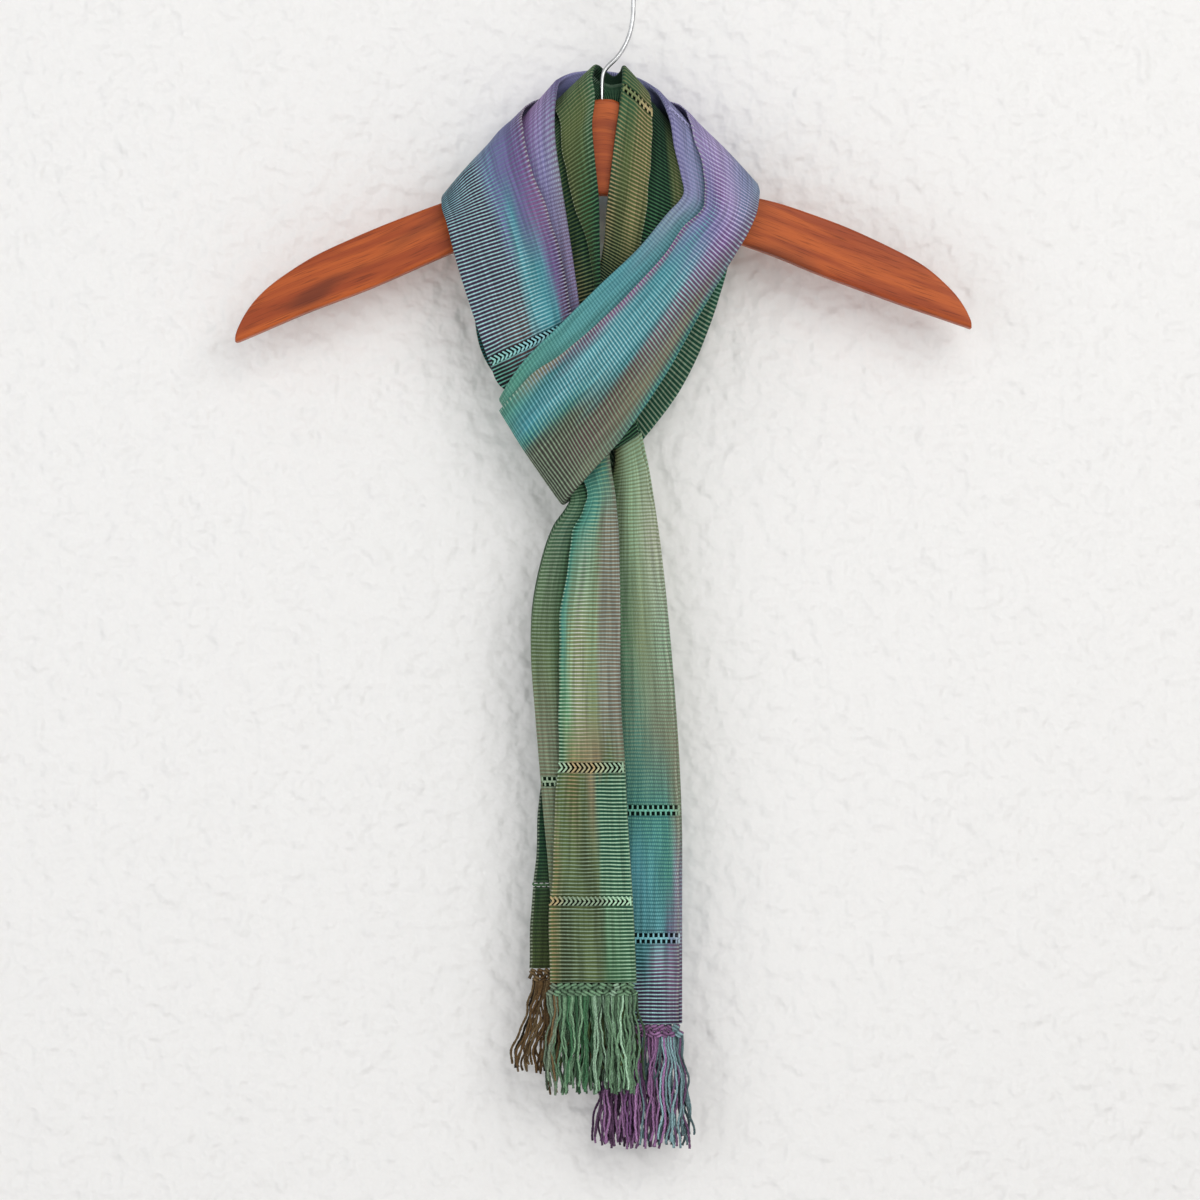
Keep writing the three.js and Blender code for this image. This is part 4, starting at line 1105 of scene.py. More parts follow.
    def run_lengths(self, sections: Sequence[Section]) -> list[float]:
        """Returns the distance along the middle of the band at each section."""
        runs = [0.0]
        for a, b in zip(sections, sections[1:]):
            runs.append(runs[-1] + ((a.row.inner + a.row.outer) - (b.row.inner + b.row.outer)).length / 2)
        return runs

    def flat_lengths(self, section: Section, columns: Sequence[Column]) -> list[float]:
        """Returns the distance across the unfolded cloth at each column."""
        flats = [0.0]
        places = [self.flat_place(section, column) for column in columns]
        for a, b in zip(places, places[1:]):
            flats.append(flats[-1] + math.hypot(a[0] - b[0], a[1] - b[1]))
        return flats


# ---------------------------------------------------------------------------------------
# Strands
# ---------------------------------------------------------------------------------------


class Strand:
    """A round strand made once and bent again and again: fringe yarns and stitches."""

    def __init__(self, sides: int, rings: int) -> None:
        """Args:
        sides: the corners round the strand.
        rings: the steps along it.
        """
        bm = bmesh.new()
        ring = bmesh.ops.create_circle(bm, cap_ends=True, segments=sides, radius=1.0)
        edges = list({edge for vert in ring["verts"] for edge in vert.link_edges})
        for _ in range(rings):
            grown = bmesh.ops.extrude_edge_only(bm, edges=edges)["geom"]
            new = [item for item in grown if isinstance(item, bmesh.types.BMVert)]
            edges = [item for item in grown if isinstance(item, bmesh.types.BMEdge)]
            edges = [edge for edge in edges if edge.verts[0] in new and edge.verts[1] in new]
            bmesh.ops.translate(bm, verts=new, vec=(0.0, 0.0, 1.0 / rings))
        bmesh.ops.contextual_create(bm, geom=edges)
        bmesh.ops.recalc_face_normals(bm, faces=bm.faces)
        self.mesh = bpy.data.meshes.new("strand_pattern")
        bm.to_mesh(self.mesh)
        bm.free()

    def lay(
        self, bm: bmesh.types.BMesh, path: Callable[[float], Vector], radius: float, dye: Colour,
        turns: float = 0.0, ply: float = 0.0,
    ) -> None:
        """Lays one strand along a path.

        Args:
            bm: the mesh that takes the strand.
            path: gives the point in millimetres at a share of the strand.
            radius: its radius in millimetres.
            dye: its colour.
            turns: how often its plies turn round each other.
            ply: how deep the groove between two plies is, as a share of the radius; the groove is also painted darker
                in the colour as shade.
        """
        start = len(bm.verts)
        bm.from_mesh(self.mesh)
        bm.verts.ensure_lookup_table()
        layer = bm.verts.layers.float_color.get("dye")
        frames: dict[float, tuple[Vector, Vector, Vector]] = {}
        for vert in bm.verts[start:]:
            t = clamp(vert.co.z)
            if t not in frames:
                travel = (path(min(t + 0.02, 1.0)) - path(max(t - 0.02, 0.0))).normalized()
                side = travel.cross(FRONT if abs(travel.dot(FRONT)) < 0.9 else UP).normalized()
                frames[t] = (path(t), side, side.cross(travel))
            centre, side, up = frames[t]
            angle = math.atan2(vert.co.y, vert.co.x)
            groove = ply * abs(math.sin(angle - turns * math.pi * t))
            vert.co = (centre + (side * math.cos(angle) + up * math.sin(angle)) * radius * (1 - groove)) * MM
            # Painted shade: the groove between the plies is darkened in the strand's colour.
            vert[layer] = (*blend(dye, (0.0, 0.0, 0.0), 1.8 * groove), 1.0)


def strand_mesh() -> bmesh.types.BMesh:
    """Returns an empty mesh that can take strands."""
    bm = bmesh.new()
    bm.verts.layers.float_color.new("dye")
    return bm


@dataclass
class LaceThreads:
    """The twisted threads that bridge the openwork lines of one stretch of cloth."""

    cloth: FoldedCloth
    thread: float = 0.66
    proud: float = 0.35

    def build(self, material: bpy.types.Material, strand: Strand) -> bpy.types.Object:
        """Makes the threads of all the cloth's openwork lines as one piece."""
        bm = strand_mesh()
        for lace in self.cloth.openwork:
            self.line(bm, strand, lace)
        return finish_object(self.cloth.name + "_lace", bm, [material])

    def line(self, bm: bmesh.types.BMesh, strand: Strand, lace: Openwork) -> None:
        """Lays the threads of one openwork line."""
        cloth = self.cloth
        above, below = cloth.edges_of(lace)
        middle = (above + below) / 2
        section = cloth.course.section(middle)
        ends = [cloth.flat_place(section, Column(lace.layer, share))[0] for share in (lace.low, lace.high)]
        pitch = 2.7 if lace.lace is Lace.CHEVRON else 3.0
        count = max(2, round(abs(ends[1] - ends[0]) / pitch))
        step = (lace.high - lace.low) / count
        right = 1 if cloth.point(middle, Column(lace.layer, lace.high)).x > cloth.point(middle, Column(lace.layer, lace.low)).x else -1
        lift = self.proud * lace.side

        def spot(place: float, share: float, rise: float) -> Vector:
            """Returns a point over the gap."""
            return cloth.point(place, Column(lace.layer, clamp(share, lace.low, lace.high)), rise)

        for k in range(count + 1):
            share = lace.low + k * step
            flat = cloth.flat_place(section, Column(lace.layer, clamp(share)))[2]
            crest, _ = cloth.charts[min(lace.layer, len(cloth.charts) - 1)].at(middle, flat)
            top, low = spot(above, share, 0.0), spot(below, share, 0.0)
            if lace.lace is Lace.CHEVRON:
                tip = spot(middle, share + step * right * 0.9, lift * 2)
                strand.lay(bm, lambda t, a=top, b=tip: a.lerp(b, t), self.thread, crest)
                strand.lay(bm, lambda t, a=tip, b=low: a.lerp(b, t), self.thread, crest)
            else:
                centre = spot(middle, share, lift)
                off = spot(middle, share + step * 0.5, lift)
                foot = spot(below, share + step * 0.5, 0.0)
                strand.lay(bm, lambda t, a=top, b=centre: a.lerp(b, t), self.thread, crest)
                strand.lay(bm, lambda t, a=off, b=foot: a.lerp(b, t), self.thread, crest)
                ahead = spot(middle, share + step, lift)
                strand.lay(bm, lambda t, a=centre, b=ahead: a.lerp(b, t), self.thread * 1.2, crest)


@dataclass
class Fringe:
    """The knotted header and hanging yarns of one hem."""

    name: str
    cloth: FoldedCloth
    layers: Sequence[int]
    dyes: Callable[[float, random.Random], Dye]
    seed: int
    length: float = 66.0
    pitch: float = 4.2
    yarns: int = 5
    lean: float = 0.0
    spread: float = 1.0
    knot_size: float = 2.05

    def roots(self) -> list[tuple[Vector, Vector]]:
        """Returns each knot's place on the hem in millimetres, and the step to the next."""
        place = self.cloth.course.last
        section = self.cloth.course.section(place)
        found = []
        for layer in self.layers:
            ends = [self.cloth.flat_place(section, Column(layer, share))[0] for share in (0.0, 1.0)]
            count = max(2, round(abs(ends[1] - ends[0]) / self.pitch))
            spots = [self.cloth.point(place, Column(layer, (i + 0.5) / count), section=section) for i in range(count)]
            step = (spots[-1] - spots[0]) / (count - 1)
            found += [(spot, step) for spot in spots]
        return found

    def build(self, material: bpy.types.Material, strand: Strand) -> bpy.types.Object:
        """Makes the header and the yarns as one piece.

        Args:
            material: the yarn finish.
            strand: the strand pattern.

        Returns:
            The piece.
        """
        chance = random.Random(self.seed)
        bm = strand_mesh()
        thread = Strand(sides=6, rings=3)
        roots = self.roots()
        middle = sum(root.x for root, _ in roots) / len(roots)
        for root, step in roots:
            dye = self.dyes(root.x, chance).linear
            shadow = blend(dye, (0.0, 0.0, 0.0), 0.7)
            first = root - UP * 1.9 + FRONT * 0.4
            seconds = [root - UP * 6.2 + step * 0.5, root - UP * 6.2 - step * 0.5]
            self.knot(bm, first, blend(dye, shadow, 0.25 + 0.55 * chance.random()), chance)
            self.knot(bm, seconds[0] + FRONT * 0.4, blend(dye, shadow, 0.25 + 0.55 * chance.random()), chance)
            for second in seconds:
                thread.lay(bm, lambda t, a=first, b=second: a.lerp(b, t), 1.15, shadow)
            drift = [chance.uniform(-1, 1) for _ in range(6)]
            for k in range(self.yarns):
                place = k - (self.yarns - 1) / 2
                start = seconds[0] + step * (0.2 * place) - UP * 0.8
                self.yarn(bm, strand, start, middle, drift, place * 0.9, chance)
        return finish_object(self.name, bm, [material])

    def knot(self, bm: bmesh.types.BMesh, centre: Vector, dye: Colour, chance: random.Random) -> None:
        """Adds one turned knot, with painted shade darkening its grooves."""
        layer = bm.verts.layers.float_color.get("dye")
        ball = bmesh.ops.create_icosphere(bm, subdivisions=3, radius=1.0)["verts"]
        tilt = chance.choice((-1, 1)) * chance.uniform(0.4, 0.9)
        size = self.knot_size * chance.uniform(0.88, 1.08)
        for vert in ball:
            x, y, z = vert.co
            groove = math.cos(2.4 * (z + tilt * x)) ** 4
            spot = Vector((x * 1.25, y * 0.95, z * 1.0)) * size * (1 - 0.3 * groove)
            vert.co = (centre + spot) * MM
            # Painted shade: the knot's grooves are darkened in its colour.
            vert[layer] = (*blend(dye, (0.0, 0.0, 0.0), 0.8 * groove), 1.0)

    def yarn(
        self, bm: bmesh.types.BMesh, strand: Strand, root: Vector, middle: float, drift: Sequence[float],
        fan: float, chance: random.Random,
    ) -> None:
        """Hangs one kinked yarn from a knot.

        Args:
            bm: the fringe's mesh.
            strand: the strand pattern.
            root: where the yarn leaves the knot.
            middle: the fringe's middle.
            drift: how the knot's whole tassel sways and curls, each from -1 to 1.
            fan: how far the yarn's end moves away from its tassel's middle.
            chance: the source of the yarn's own differences.
        """
        length = (self.length - 8.0) * chance.uniform(0.88, 1.04)
        sway = (root.x - middle) * (self.spread - 1) + self.lean + 1.6 * drift[0] + fan + chance.uniform(-1.0, 1.0)
        depth = chance.uniform(-2.2, 2.2)
        size, phase, rate = 1.3 + 0.7 * drift[1], 3.0 * drift[2] + chance.uniform(-0.6, 0.6), 2.8 + drift[3]
        kink, turn, pace = chance.uniform(0.25, 0.6), chance.uniform(0, 6.28), chance.uniform(5.0, 8.0)
        start = root + Vector((0.0, depth * 0.5, 0.0))

        def path(t: float) -> Vector:
            """Returns the yarn's point at a share of its length."""
            ease = t * t * (3 - 2 * t)
            loose = smooth(t, 0.0, 0.3)
            curl_x = size * (math.sin(phase + t * math.pi * rate) - math.sin(phase)) + kink * math.sin(turn + t * math.pi * pace)
            curl_y = 0.5 * size * (math.cos(phase + t * math.pi * rate) - math.cos(phase))
            return start + Vector((sway * ease + curl_x * loose, depth * ease + curl_y * loose, -length * t))

        # Painted shade and light: yarns further back are darkened and yarns in front brightened, times a random tone.
        tone_and_painted_shade = mix(1.3, 0.12, (depth + 2.2) / 4.4) * chance.uniform(0.85, 1.15)
        dye = tuple(c * tone_and_painted_shade for c in self.dyes(root.x + chance.uniform(-2, 2), chance).linear)
        strand.lay(bm, path, chance.uniform(0.86, 1.04), dye, turns=length / 4.8, ply=0.36)


# ---------------------------------------------------------------------------------------
# Hanger
# ---------------------------------------------------------------------------------------


def loft(bm: bmesh.types.BMesh, rings: Sequence[Sequence[Vector]]) -> None:
    """Sweeps a ring through a row of rings and closes both ends.

    Args:
        bm: the mesh to build in.
        rings: the rings' points in metres, all of one length.
    """
    count = len(rings[0])
    first = bmesh.ops.create_circle(bm, segments=count, radius=1.0)["verts"]
    first.sort(key=lambda vert: math.atan2(vert.co.y, vert.co.x) % (2 * math.pi))
    for vert, spot in zip(first, rings[0]):
        vert.co = spot
    edges = [bm.edges.get((first[i], first[(i + 1) % count])) for i in range(count)]
    bmesh.ops.contextual_create(bm, geom=edges)
    current = first
    for ring in rings[1:]:
        grown = bmesh.ops.extrude_edge_only(bm, edges=edges)["geom"]
        new = [item for item in grown if isinstance(item, bmesh.types.BMVert)]
        fresh = set(new)
        partner = {}
        for vert in current:
            for edge in vert.link_edges:
                other = edge.other_vert(vert)
                if other in fresh:
                    partner[vert] = other
        current = [partner[vert] for vert in current]
        for vert, spot in zip(current, ring):
            vert.co = spot
        edges = [bm.edges.get((current[i], current[(i + 1) % count])) for i in range(count)]
    bmesh.ops.contextual_create(bm, geom=edges)
    bmesh.ops.recalc_face_normals(bm, faces=bm.faces)


@dataclass
class Hanger:
    """The wooden board and its wire hook."""

    thickness: float = 14.0
    edge: float = 2.5
    wire: float = 1.5
    bow: float = 20.1
    tip: float = 170.0
    foot: tuple[float, float] = (1.0, -104.5)
    sections: Sequence[tuple[float, float, float]] = (
        (-219.0, -224.5, -227.8), (-215.5, -215.0, -226.5), (-209.0, -204.0, -223.8),
        (-198.0, -193.0, -219.0), (-186.5, -185.0, -214.0), (-171.0, -175.0, -207.5),
        (-153.0, -167.0, -201.0), (-135.0, -159.0, -194.0), (-117.0, -152.0, -186.0),
        (-93.5, -143.0, -175.5), (-72.0, -136.5, -166.5), (-48.0, -125.0, -156.0),
        (-27.0, -108.5, -147.3), (-12.0, -89.0, -141.5), (-5.0, -81.5, -139.3),
        (4.0, -81.5, -138.5), (12.5, -81.5, -141.3), (29.0, -107.5, -147.6),
        (49.0, -124.0, -155.4), (73.0, -136.5, -164.2), (93.0, -140.5, -171.5),
        (107.0, -143.5, -176.3), (125.5, -150.0, -184.5), (144.0, -156.5, -191.5),
        (162.0, -164.5, -198.0), (180.5, -173.5, -204.8), (194.5, -181.0, -209.5),
        (206.5, -191.5, -213.6), (215.5, -201.0, -216.8), (221.0, -211.0, -218.5),
        (222.8, -216.5, -219.5),
    )
    stem: Sequence[tuple[float, float]] = (
        (1.0, -92.0), (1.0, -80.0), (1.0, -72.0), (1.5, -66.5), (3.2, -62.8), (6.0, -60.0),
        (9.5, -57.0), (13.0, -52.6), (16.2, -46.8), (18.8, -39.5), (20.1, -30.0),
    )

    def ring(self, x: float, top: float, bottom: float) -> list[Vector]:
        """Returns one eased section of the board in metres."""
        half_height, half_depth = (top - bottom) / 2, self.thickness / 2
        ease = min(self.edge, half_height * 0.8)
        points = []
        for side_y, side_z in ((1, 1), (1, -1), (-1, -1), (-1, 1)):
            corner = []
            for angle in (0, 30, 60, 90):
                turn = math.radians(angle)
                y = side_y * (half_depth - ease + ease * math.sin(turn))
                z = side_z * (half_height - ease + ease * math.cos(turn))
                corner.append(Vector((x, y, (top + bottom) / 2 + z)) * MM)
            points += corner if side_y * side_z > 0 else corner[::-1]
        return points

    def board(self, material: bpy.types.Material) -> bpy.types.Object:
        """Makes the board with its grain map."""
        bm = bmesh.new()
        loft(bm, [self.ring(*section) for section in self.sections])
        grain = bm.loops.layers.uv.new("grain")
        for face in bm.faces:
            for loop in face.loops:
                loop[grain].uv = self.grain_place(loop.vert.co)
        piece = finish_object("hanger_board", bm, [material])
        rounding = piece.modifiers.new("rounding", "SUBSURF")
        rounding.levels = rounding.render_levels = 2
        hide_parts("hanger_body")
        return piece

    def grain_place(self, spot: Vector) -> tuple[float, float]:
        """Returns the place along and across the board's grain."""
        x, z = spot.x / MM, spot.z / MM
        for a, b in zip(self.sections, self.sections[1:]):
            if x <= b[0]:
                t = clamp((x - a[0]) / (b[0] - a[0]))
                arm = mix(a[2], b[2], t)
                return spot.x, (z - arm) * MM + spot.y * 0.6
        return spot.x, (z - self.sections[-1][2]) * MM + spot.y * 0.6

    def hook(self, material: bpy.types.Material) -> bpy.types.Object:
        """Makes the wire hook."""
        centre = self.wire - self.bow
        route = [self.foot, *self.stem]
        for angle in range(0, int(self.tip), 9):
            turn = math.radians(angle)
            route.append((self.bow * math.cos(turn), centre + self.bow * math.sin(turn)))
        rings = []
        for i, (x, z) in enumerate(route):
            before, after = route[max(i - 1, 0)], route[min(i + 1, len(route) - 1)]
            along = Vector((after[0] - before[0], 0.0, after[1] - before[1])).normalized()
            side = along.cross(Vector((0.0, 1.0, 0.0)))
            radius = self.wire
            ring = []
            for k in range(12):
                turn = math.radians(30 * k)
                ring.append((Vector((x, 0, z)) + (side * math.cos(turn) + Vector((0, 1, 0)) * math.sin(turn)) * radius) * MM)
            rings.append(ring)
        last = Vector((route[-1][0], 0.0, route[-1][1])) * MM
        bm = bmesh.new()
        loft(bm, rings + [[last.lerp(spot, 0.75) + (last - Vector((route[-2][0], 0, route[-2][1])) * MM) * 0.3 for spot in rings[-1]]])
        piece = finish_object("hook_wire", bm, [material])
        rounding = piece.modifiers.new("rounding", "SUBSURF")
        rounding.levels = rounding.render_levels = 1
        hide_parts("hanger_hook")
        return piece


# ---------------------------------------------------------------------------------------
# The scarf
# ---------------------------------------------------------------------------------------


def keyed(*rows: tuple[float, float]) -> Callable[[float], float]:
    """Returns a function that eases between keyed values along a course."""

    def value(place: float) -> float:
        """Returns the value at a place."""
        if place <= rows[0][0]:
            return rows[0][1]
        for a, b in zip(rows, rows[1:]):
            if place <= b[0]:
                return mix(a[1], b[1], smooth(place, a[0], b[0]))
        return rows[-1][1]

    return value


# Soft ridges of the loop: from and to (x, z), height, half breadth, and the course's places.
LOOP_CREASES = (
    Crease((-62.0, -112.0), (-47.0, -228.0), 2.4, 6.0, 4, 12),
    Crease((-78.0, -132.0), (-60.0, -215.0), 1.8, 7.0, 6, 12),
    Crease((-40.0, -105.0), (-27.0, -200.0), 1.6, 4.5, 6, 12),
    Crease((74.0, -128.0), (66.0, -165.0), 2.0, 7.0, 20, 24),
    Crease((60.0, -150.0), (-12.0, -262.0), 1.9, 5.5, 23, 29),
    Crease((70.0, -168.0), (10.0, -265.0), 2.0, 7.0, 23, 29),
    Crease((30.0, -180.0), (-38.0, -250.0), 1.8, 5.0, 24, 29),
    Crease((20.0, -82.0), (11.0, -150.0), 0.7, 4.0, 38, 44),
    Crease((-8.0, -84.0), (-14.0, -128.0), 0.7, 4.0, 50, 54),
    Crease((-70.0, -80.0), (-30.0, -150.0), 0.9, 8.0, 13, 16),
    Crease((60.0, -75.0), (25.0, -140.0), 0.9, 8.0, 16, 19),
)

# Soft ridges that fan out of the knot down the left tail.
LEFT_CREASES = (
    Crease((2.0, -300.0), (-16.0, -372.0), 2.2, 3.6, 0, 6),
    Crease((4.0, -302.0), (-3.0, -400.0), 1.8, 3.2, 0, 7),
    Crease((6.0, -305.0), (9.0, -470.0), 1.6, 3.4, 0, 9),
    Crease((-14.0, -360.0), (-21.0, -470.0), 1.4, 4.0, 4, 9),
    Crease((-4.0, -420.0), (-9.0, -585.0), 1.5, 6.0, 6, 13),
    Crease((8.0, -480.0), (13.0, -600.0), 1.2, 5.0, 9, 13),
)

# Soft ridges of the right tail.
RIGHT_CREASES = (
    Crease((28.0, -290.0), (38.0, -420.0), 1.6, 5.0, 1, 7),
    Crease((18.0, -310.0), (26.0, -480.0), 1.4, 5.0, 2, 9),
    Crease((42.0, -420.0), (46.0, -600.0), 0.9, 4.0, 6, 12),
    Crease((30.0, -500.0), (32.0, -630.0), 1.1, 6.0, 8, 12),
)


@dataclass
class Scarf:
    """The scarf's cloth and fringes."""

    flat_width: float = 0.205

    def loop(self) -> FoldedCloth:
        """Returns the loop round the neck, from the knot and back into it."""

        def bold(layer: int, place: float) -> float:
            """Returns how boldly the ribs stand out."""
            return smooth(place, 32.0, 34.0) if layer == 1 else 1.0

        return FoldedCloth(
            "scarf_loop", LOOP_COURSE, Fold.IN_THREE, (LOOP_UPPER, LOOP_MIDDLE, LOOP_LOWER), bold,
            upper_puff=keyed(
                (5, 0.3), (7, 1.8), (12, 2.2), (14, 1.5), (19, 1.5), (22, 2.5), (28, 3.0), (30, 1.5), (32, 0.0)
            ),
            lower_puff=keyed(
                (36, 0.0), (39, 0.9), (43, 0.9), (45, 0.0), (48, 0.0), (50, 0.9), (54, 0.7), (56, 0.0)
            ),
            creases=LOOP_CREASES,
            openwork=(
                Openwork(6.0, 0, 1, 1, Lace.CHEVRON),
                Openwork(19.6, 1, 2, 1, Lace.LATTICE, low=0.72, high=1.0, height=4.0),
                Openwork(42.85, 2, 1, -1, Lace.LATTICE, height=4.5),
            ),
        )

    def left_tail(self) -> FoldedCloth:
        """Returns the front tail."""
        return FoldedCloth(
            "scarf_tail_front", LEFT_TAIL_COURSE, Fold.LEFT_TAIL, (LEFT_REAR, LEFT_REAR, LEFT_MIDDLE, LEFT_FRONT),
            lambda layer, place: 1.0 if layer == 3 else 0.5,
            lower_puff=keyed((0, 0.3), (2, 1.6), (8, 1.4), (13, 0.7)), creases=LEFT_CREASES, hem_rise=8.0,
            openwork=(
                Openwork(9.14, 3, 2, -1, Lace.CHEVRON, height=6.0),
                Openwork(11.63, 3, 2, -1, Lace.CHEVRON, height=5.4),
                Openwork(9.42, 2, 1, -1, Lace.LATTICE, high=0.3),
                Openwork(11.57, 0, 1, -1, Lace.LATTICE, high=0.3, height=2.6),
            ),
        )

    def right_tail(self) -> FoldedCloth:
        """Returns the rear tail."""
        return FoldedCloth(
            "scarf_tail_rear", RIGHT_TAIL_COURSE, Fold.RIGHT_TAIL,
            (RIGHT_FRONT,), lambda layer, place: smooth(place, 10.4, 11.2),
            lower_puff=keyed((0, 0.0), (2, 0.7), (7, 1.6), (12, 0.9)), creases=RIGHT_CREASES,
            openwork=(
                Openwork(8.65, 3, 2, -1, Lace.LATTICE, height=6.2),
                Openwork(10.64, 3, 2, -1, Lace.LATTICE, height=6.2),
            ),
        )

    def build(self) -> None:
        """Makes every piece of the scarf, fixes each to the body and hides the nodes it stands for."""
        cotton = ClothFinish().material(weave_group())
        yarn = YarnFinish().material()
        stitch = Strand(sides=6, rings=3)
        left, right = self.left_tail(), self.right_tail()
        loop_nodes = (
            "scarf_band_left", "scarf_collar_outer", "scarf_band_right", "scarf_knot_turn",
            "scarf_inner_right", "scarf_collar_inner", "scarf_inner_left",
        )
        stretches = (
            (self.loop(), loop_nodes, 1.25), (left, ("scarf_tail_left",), 0.32), (right, ("scarf_tail_right",), 0.355)
        )
        strand = Strand(sides=6, rings=44)
        for cloth, nodes, length in stretches:
            piece = cloth.build(cotton)
            lace = LaceThreads(cloth).build(yarn, stitch)
            self.declare(piece, "scarf_cloth", *nodes)
            self.declare(lace, "scarf_cloth")
            trim = [lace]
            for fringe, node, slot in self.fringes(left, right):
                if fringe.cloth is cloth:
                    trim.append(fringe.build(yarn, strand))
                    self.declare(trim[-1], slot, node)

    def declare(self, piece: bpy.types.Object, slot: str, *nodes: str) -> None:
        """Fixes a piece to the body and hides the nodes it stands for."""
        if nodes:
            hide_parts(*nodes)
        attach(piece, "root")
        LOG.info("%s: %d faces", piece.name, len(piece.data.polygons))

    def fringes(self, left: FoldedCloth, right: FoldedCloth) -> list[tuple[Fringe, str, str]]:
        """Returns each fringe with its node and material slot."""

        def green(x: float, chance: random.Random) -> Dye:
            """Returns the dye of a front yarn of the left tail."""
            if x < -25:
                return D.UMBER if chance.random() < 0.5 else D.SAGE
            if x < -6:
                return D.REED if chance.random() < 0.75 else D.LEAF
            return D.MINT if chance.random() < 0.3 else D.REED

        def brown(x: float, chance: random.Random) -> Dye:
            """Returns the dye of a rear yarn of the left tail."""
            if x < -18:
                return D.BROWN if chance.random() < 0.4 else D.UMBER
            return D.UMBER if chance.random() < 0.3 else D.OLIVE

        def purple(x: float, chance: random.Random) -> Dye:
            """Returns the dye of a yarn of the right tail."""
            if x < 27:
                return D.ORCHID if chance.random() < 0.7 else D.MAGENTA
            if x < 38:
                return D.MIST if chance.random() < 0.3 else D.ORCHID
            return D.ORCHID if chance.random() < 0.35 else D.MIST

        return [
            (Fringe("fringe_front", left, (3, 2), green, 11, lean=1.5, spread=1.06, length=66.0),
             "fringe_left_front", "fringe_green"),
            (Fringe("fringe_rear", left, (0, 1), brown, 12, lean=-5.0, spread=1.22, length=62.0),
             "fringe_left_back", "fringe_brown"),
            (Fringe("fringe_side", right, (3, 1), purple, 13, lean=0.0, spread=1.12, length=74.0),
             "fringe_right", "fringe_purple"),
        ]


# ---------------------------------------------------------------------------------------
# Studio
# ---------------------------------------------------------------------------------------


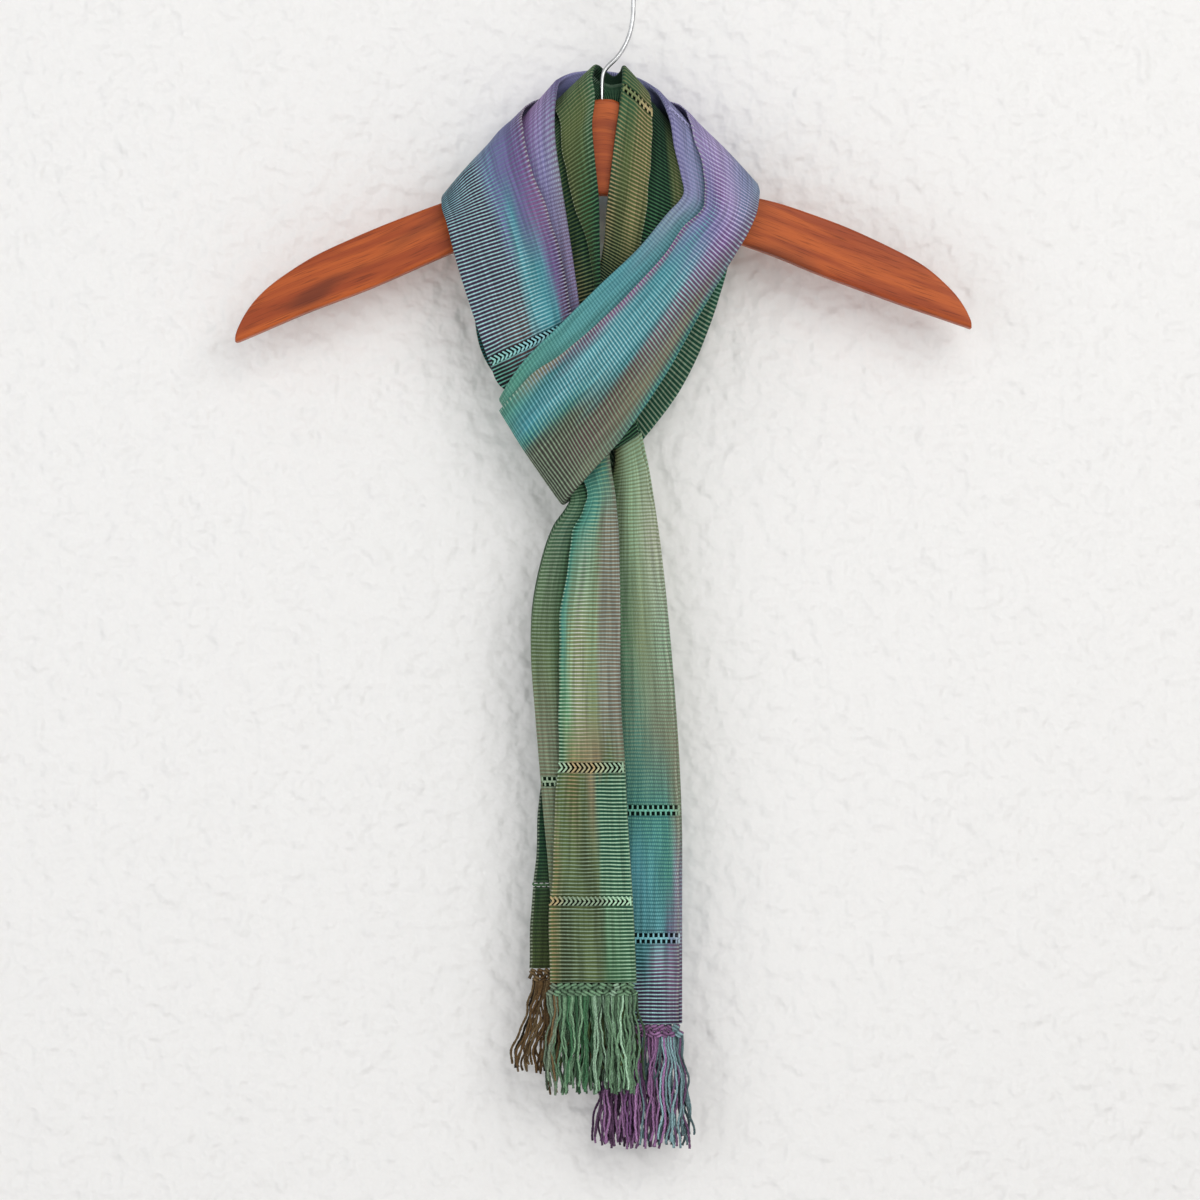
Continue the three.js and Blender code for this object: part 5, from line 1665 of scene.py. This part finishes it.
@dataclass
class Studio:
    """The camera, the lights, a pale floor and a pale wall behind the hanger."""

    field: float = 0.720
    distance: float = 2.2
    centre: tuple[float, float, float] = (0.0, 0.0, -0.3816)
    wall_behind: float = 0.034
    floor: float = -0.86

    def camera(self) -> None:
        """Makes the camera, square to the hanger's front."""
        data = bpy.data.cameras.new("camera")
        data.sensor_width = 36.0
        data.lens = 36.0 * self.distance / self.field
        camera = bpy.data.objects.new("camera", data)
        bpy.context.scene.collection.objects.link(camera)
        camera.location = Vector(self.centre) - Vector((0.0, self.distance, 0.0))
        camera.rotation_euler = (math.pi / 2, 0.0, 0.0)
        bpy.context.scene.camera = camera

    def light(self, name: str, spot: tuple[float, float, float], size: float, power: float, tint: Colour) -> None:
        """Makes one square soft light that looks at the scarf's middle."""
        data = bpy.data.lights.new(name, "AREA")
        data.size, data.energy, data.color = size, power, tint
        lamp = bpy.data.objects.new(name, data)
        bpy.context.scene.collection.objects.link(lamp)
        lamp.location = spot
        aim = Vector(self.centre) - Vector(spot)
        lamp.rotation_mode = "QUATERNION"
        lamp.rotation_quaternion = aim.to_track_quat("-Z", "Y")

    def plaster(self) -> bpy.types.Material:
        """Returns the wall's pale rough plaster, which is seen from the front only."""
        material, nodes, shader = new_material("pale_plaster")
        shader.inputs["Base Color"].default_value = (0.82, 0.815, 0.81, 1.0)
        shader.inputs["Roughness"].default_value = 0.95
        place = nodes.add("ShaderNodeTexCoord")
        trowel = nodes.add("ShaderNodeTexNoise", {"Vector": place.outputs["Object"], "Scale": 95.0, "Detail": 1.5})
        relief = nodes.add("ShaderNodeBump", {"Strength": 0.9, "Distance": 0.005, "Height": trowel.outputs["Fac"]})
        nodes.tree.links.new(relief.outputs[0], shader.inputs["Normal"])
        clear = nodes.add("ShaderNodeBsdfTransparent")
        side = nodes.add("ShaderNodeNewGeometry")
        ray = nodes.add("ShaderNodeLightPath")
        open_way = nodes.math("MAXIMUM", side.outputs["Backfacing"], ray.outputs["Is Shadow Ray"])
        joined = nodes.add("ShaderNodeMixShader", {0: open_way, 1: shader.outputs[0], 2: clear.outputs[0]})
        output = material.node_tree.nodes["Material Output"]
        nodes.tree.links.new(joined.outputs[0], output.inputs["Surface"])
        return material

    def plane(self, name: str, size: float, place: Callable[[Vector], Vector], material: bpy.types.Material) -> None:
        """Makes one flat sheet of the studio."""
        bm = bmesh.new()
        bmesh.ops.create_grid(bm, x_segments=1, y_segments=1, size=size)
        for vert in bm.verts:
            vert.co = place(vert.co.copy())
        piece = finish_object(name, bm, [material])

    def build(self) -> None:
        """Makes the whole studio."""
        self.camera()
        self.plane("studio_wall", 2.4, lambda p: Vector((p.x, self.wall_behind, p.y - 0.3)), self.plaster())
        floor, _, shader = new_material("pale_floor")
        shader.inputs["Base Color"].default_value = (0.82, 0.815, 0.81, 1.0)
        shader.inputs["Roughness"].default_value = 0.9
        self.plane("studio_floor", 3.0, lambda p: Vector((p.x, p.y, self.floor)), floor)
        self.light("key", (0.8, -2.0, 0.6), 1.7, 27.0, (1.0, 0.985, 0.96))
        self.light("fill", (-1.4, -1.6, -0.1), 1.8, 11.0, (0.96, 0.98, 1.0))
        self.light("back", (-0.6, 2.2, 0.3), 1.6, 22.0, (1.0, 1.0, 1.0))
        world = bpy.data.worlds.new("soft_sky")
        world.use_nodes = True
        world.node_tree.nodes["Background"].inputs["Color"].default_value = (1.0, 1.0, 1.0, 1.0)
        world.node_tree.nodes["Background"].inputs["Strength"].default_value = 0.48
        bpy.context.scene.world = world
        bpy.context.scene.view_settings.view_transform = "Standard"


def main() -> None:
    """Builds the studio, the hanger and the scarf in order."""
    logging.basicConfig(level=logging.INFO, format="%(name)s: %(message)s")
    Studio().build()
    hanger = Hanger()
    for piece, slot in ((hanger.board(WoodFinish().material()), "hanger_wood"), (hanger.hook(SteelFinish().material()), "hook_steel")):
        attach(piece, "root")
        LOG.info("%s: %d faces", piece.name, len(piece.data.polygons))
    Scarf().build()


if __name__ == "__main__":
    main()
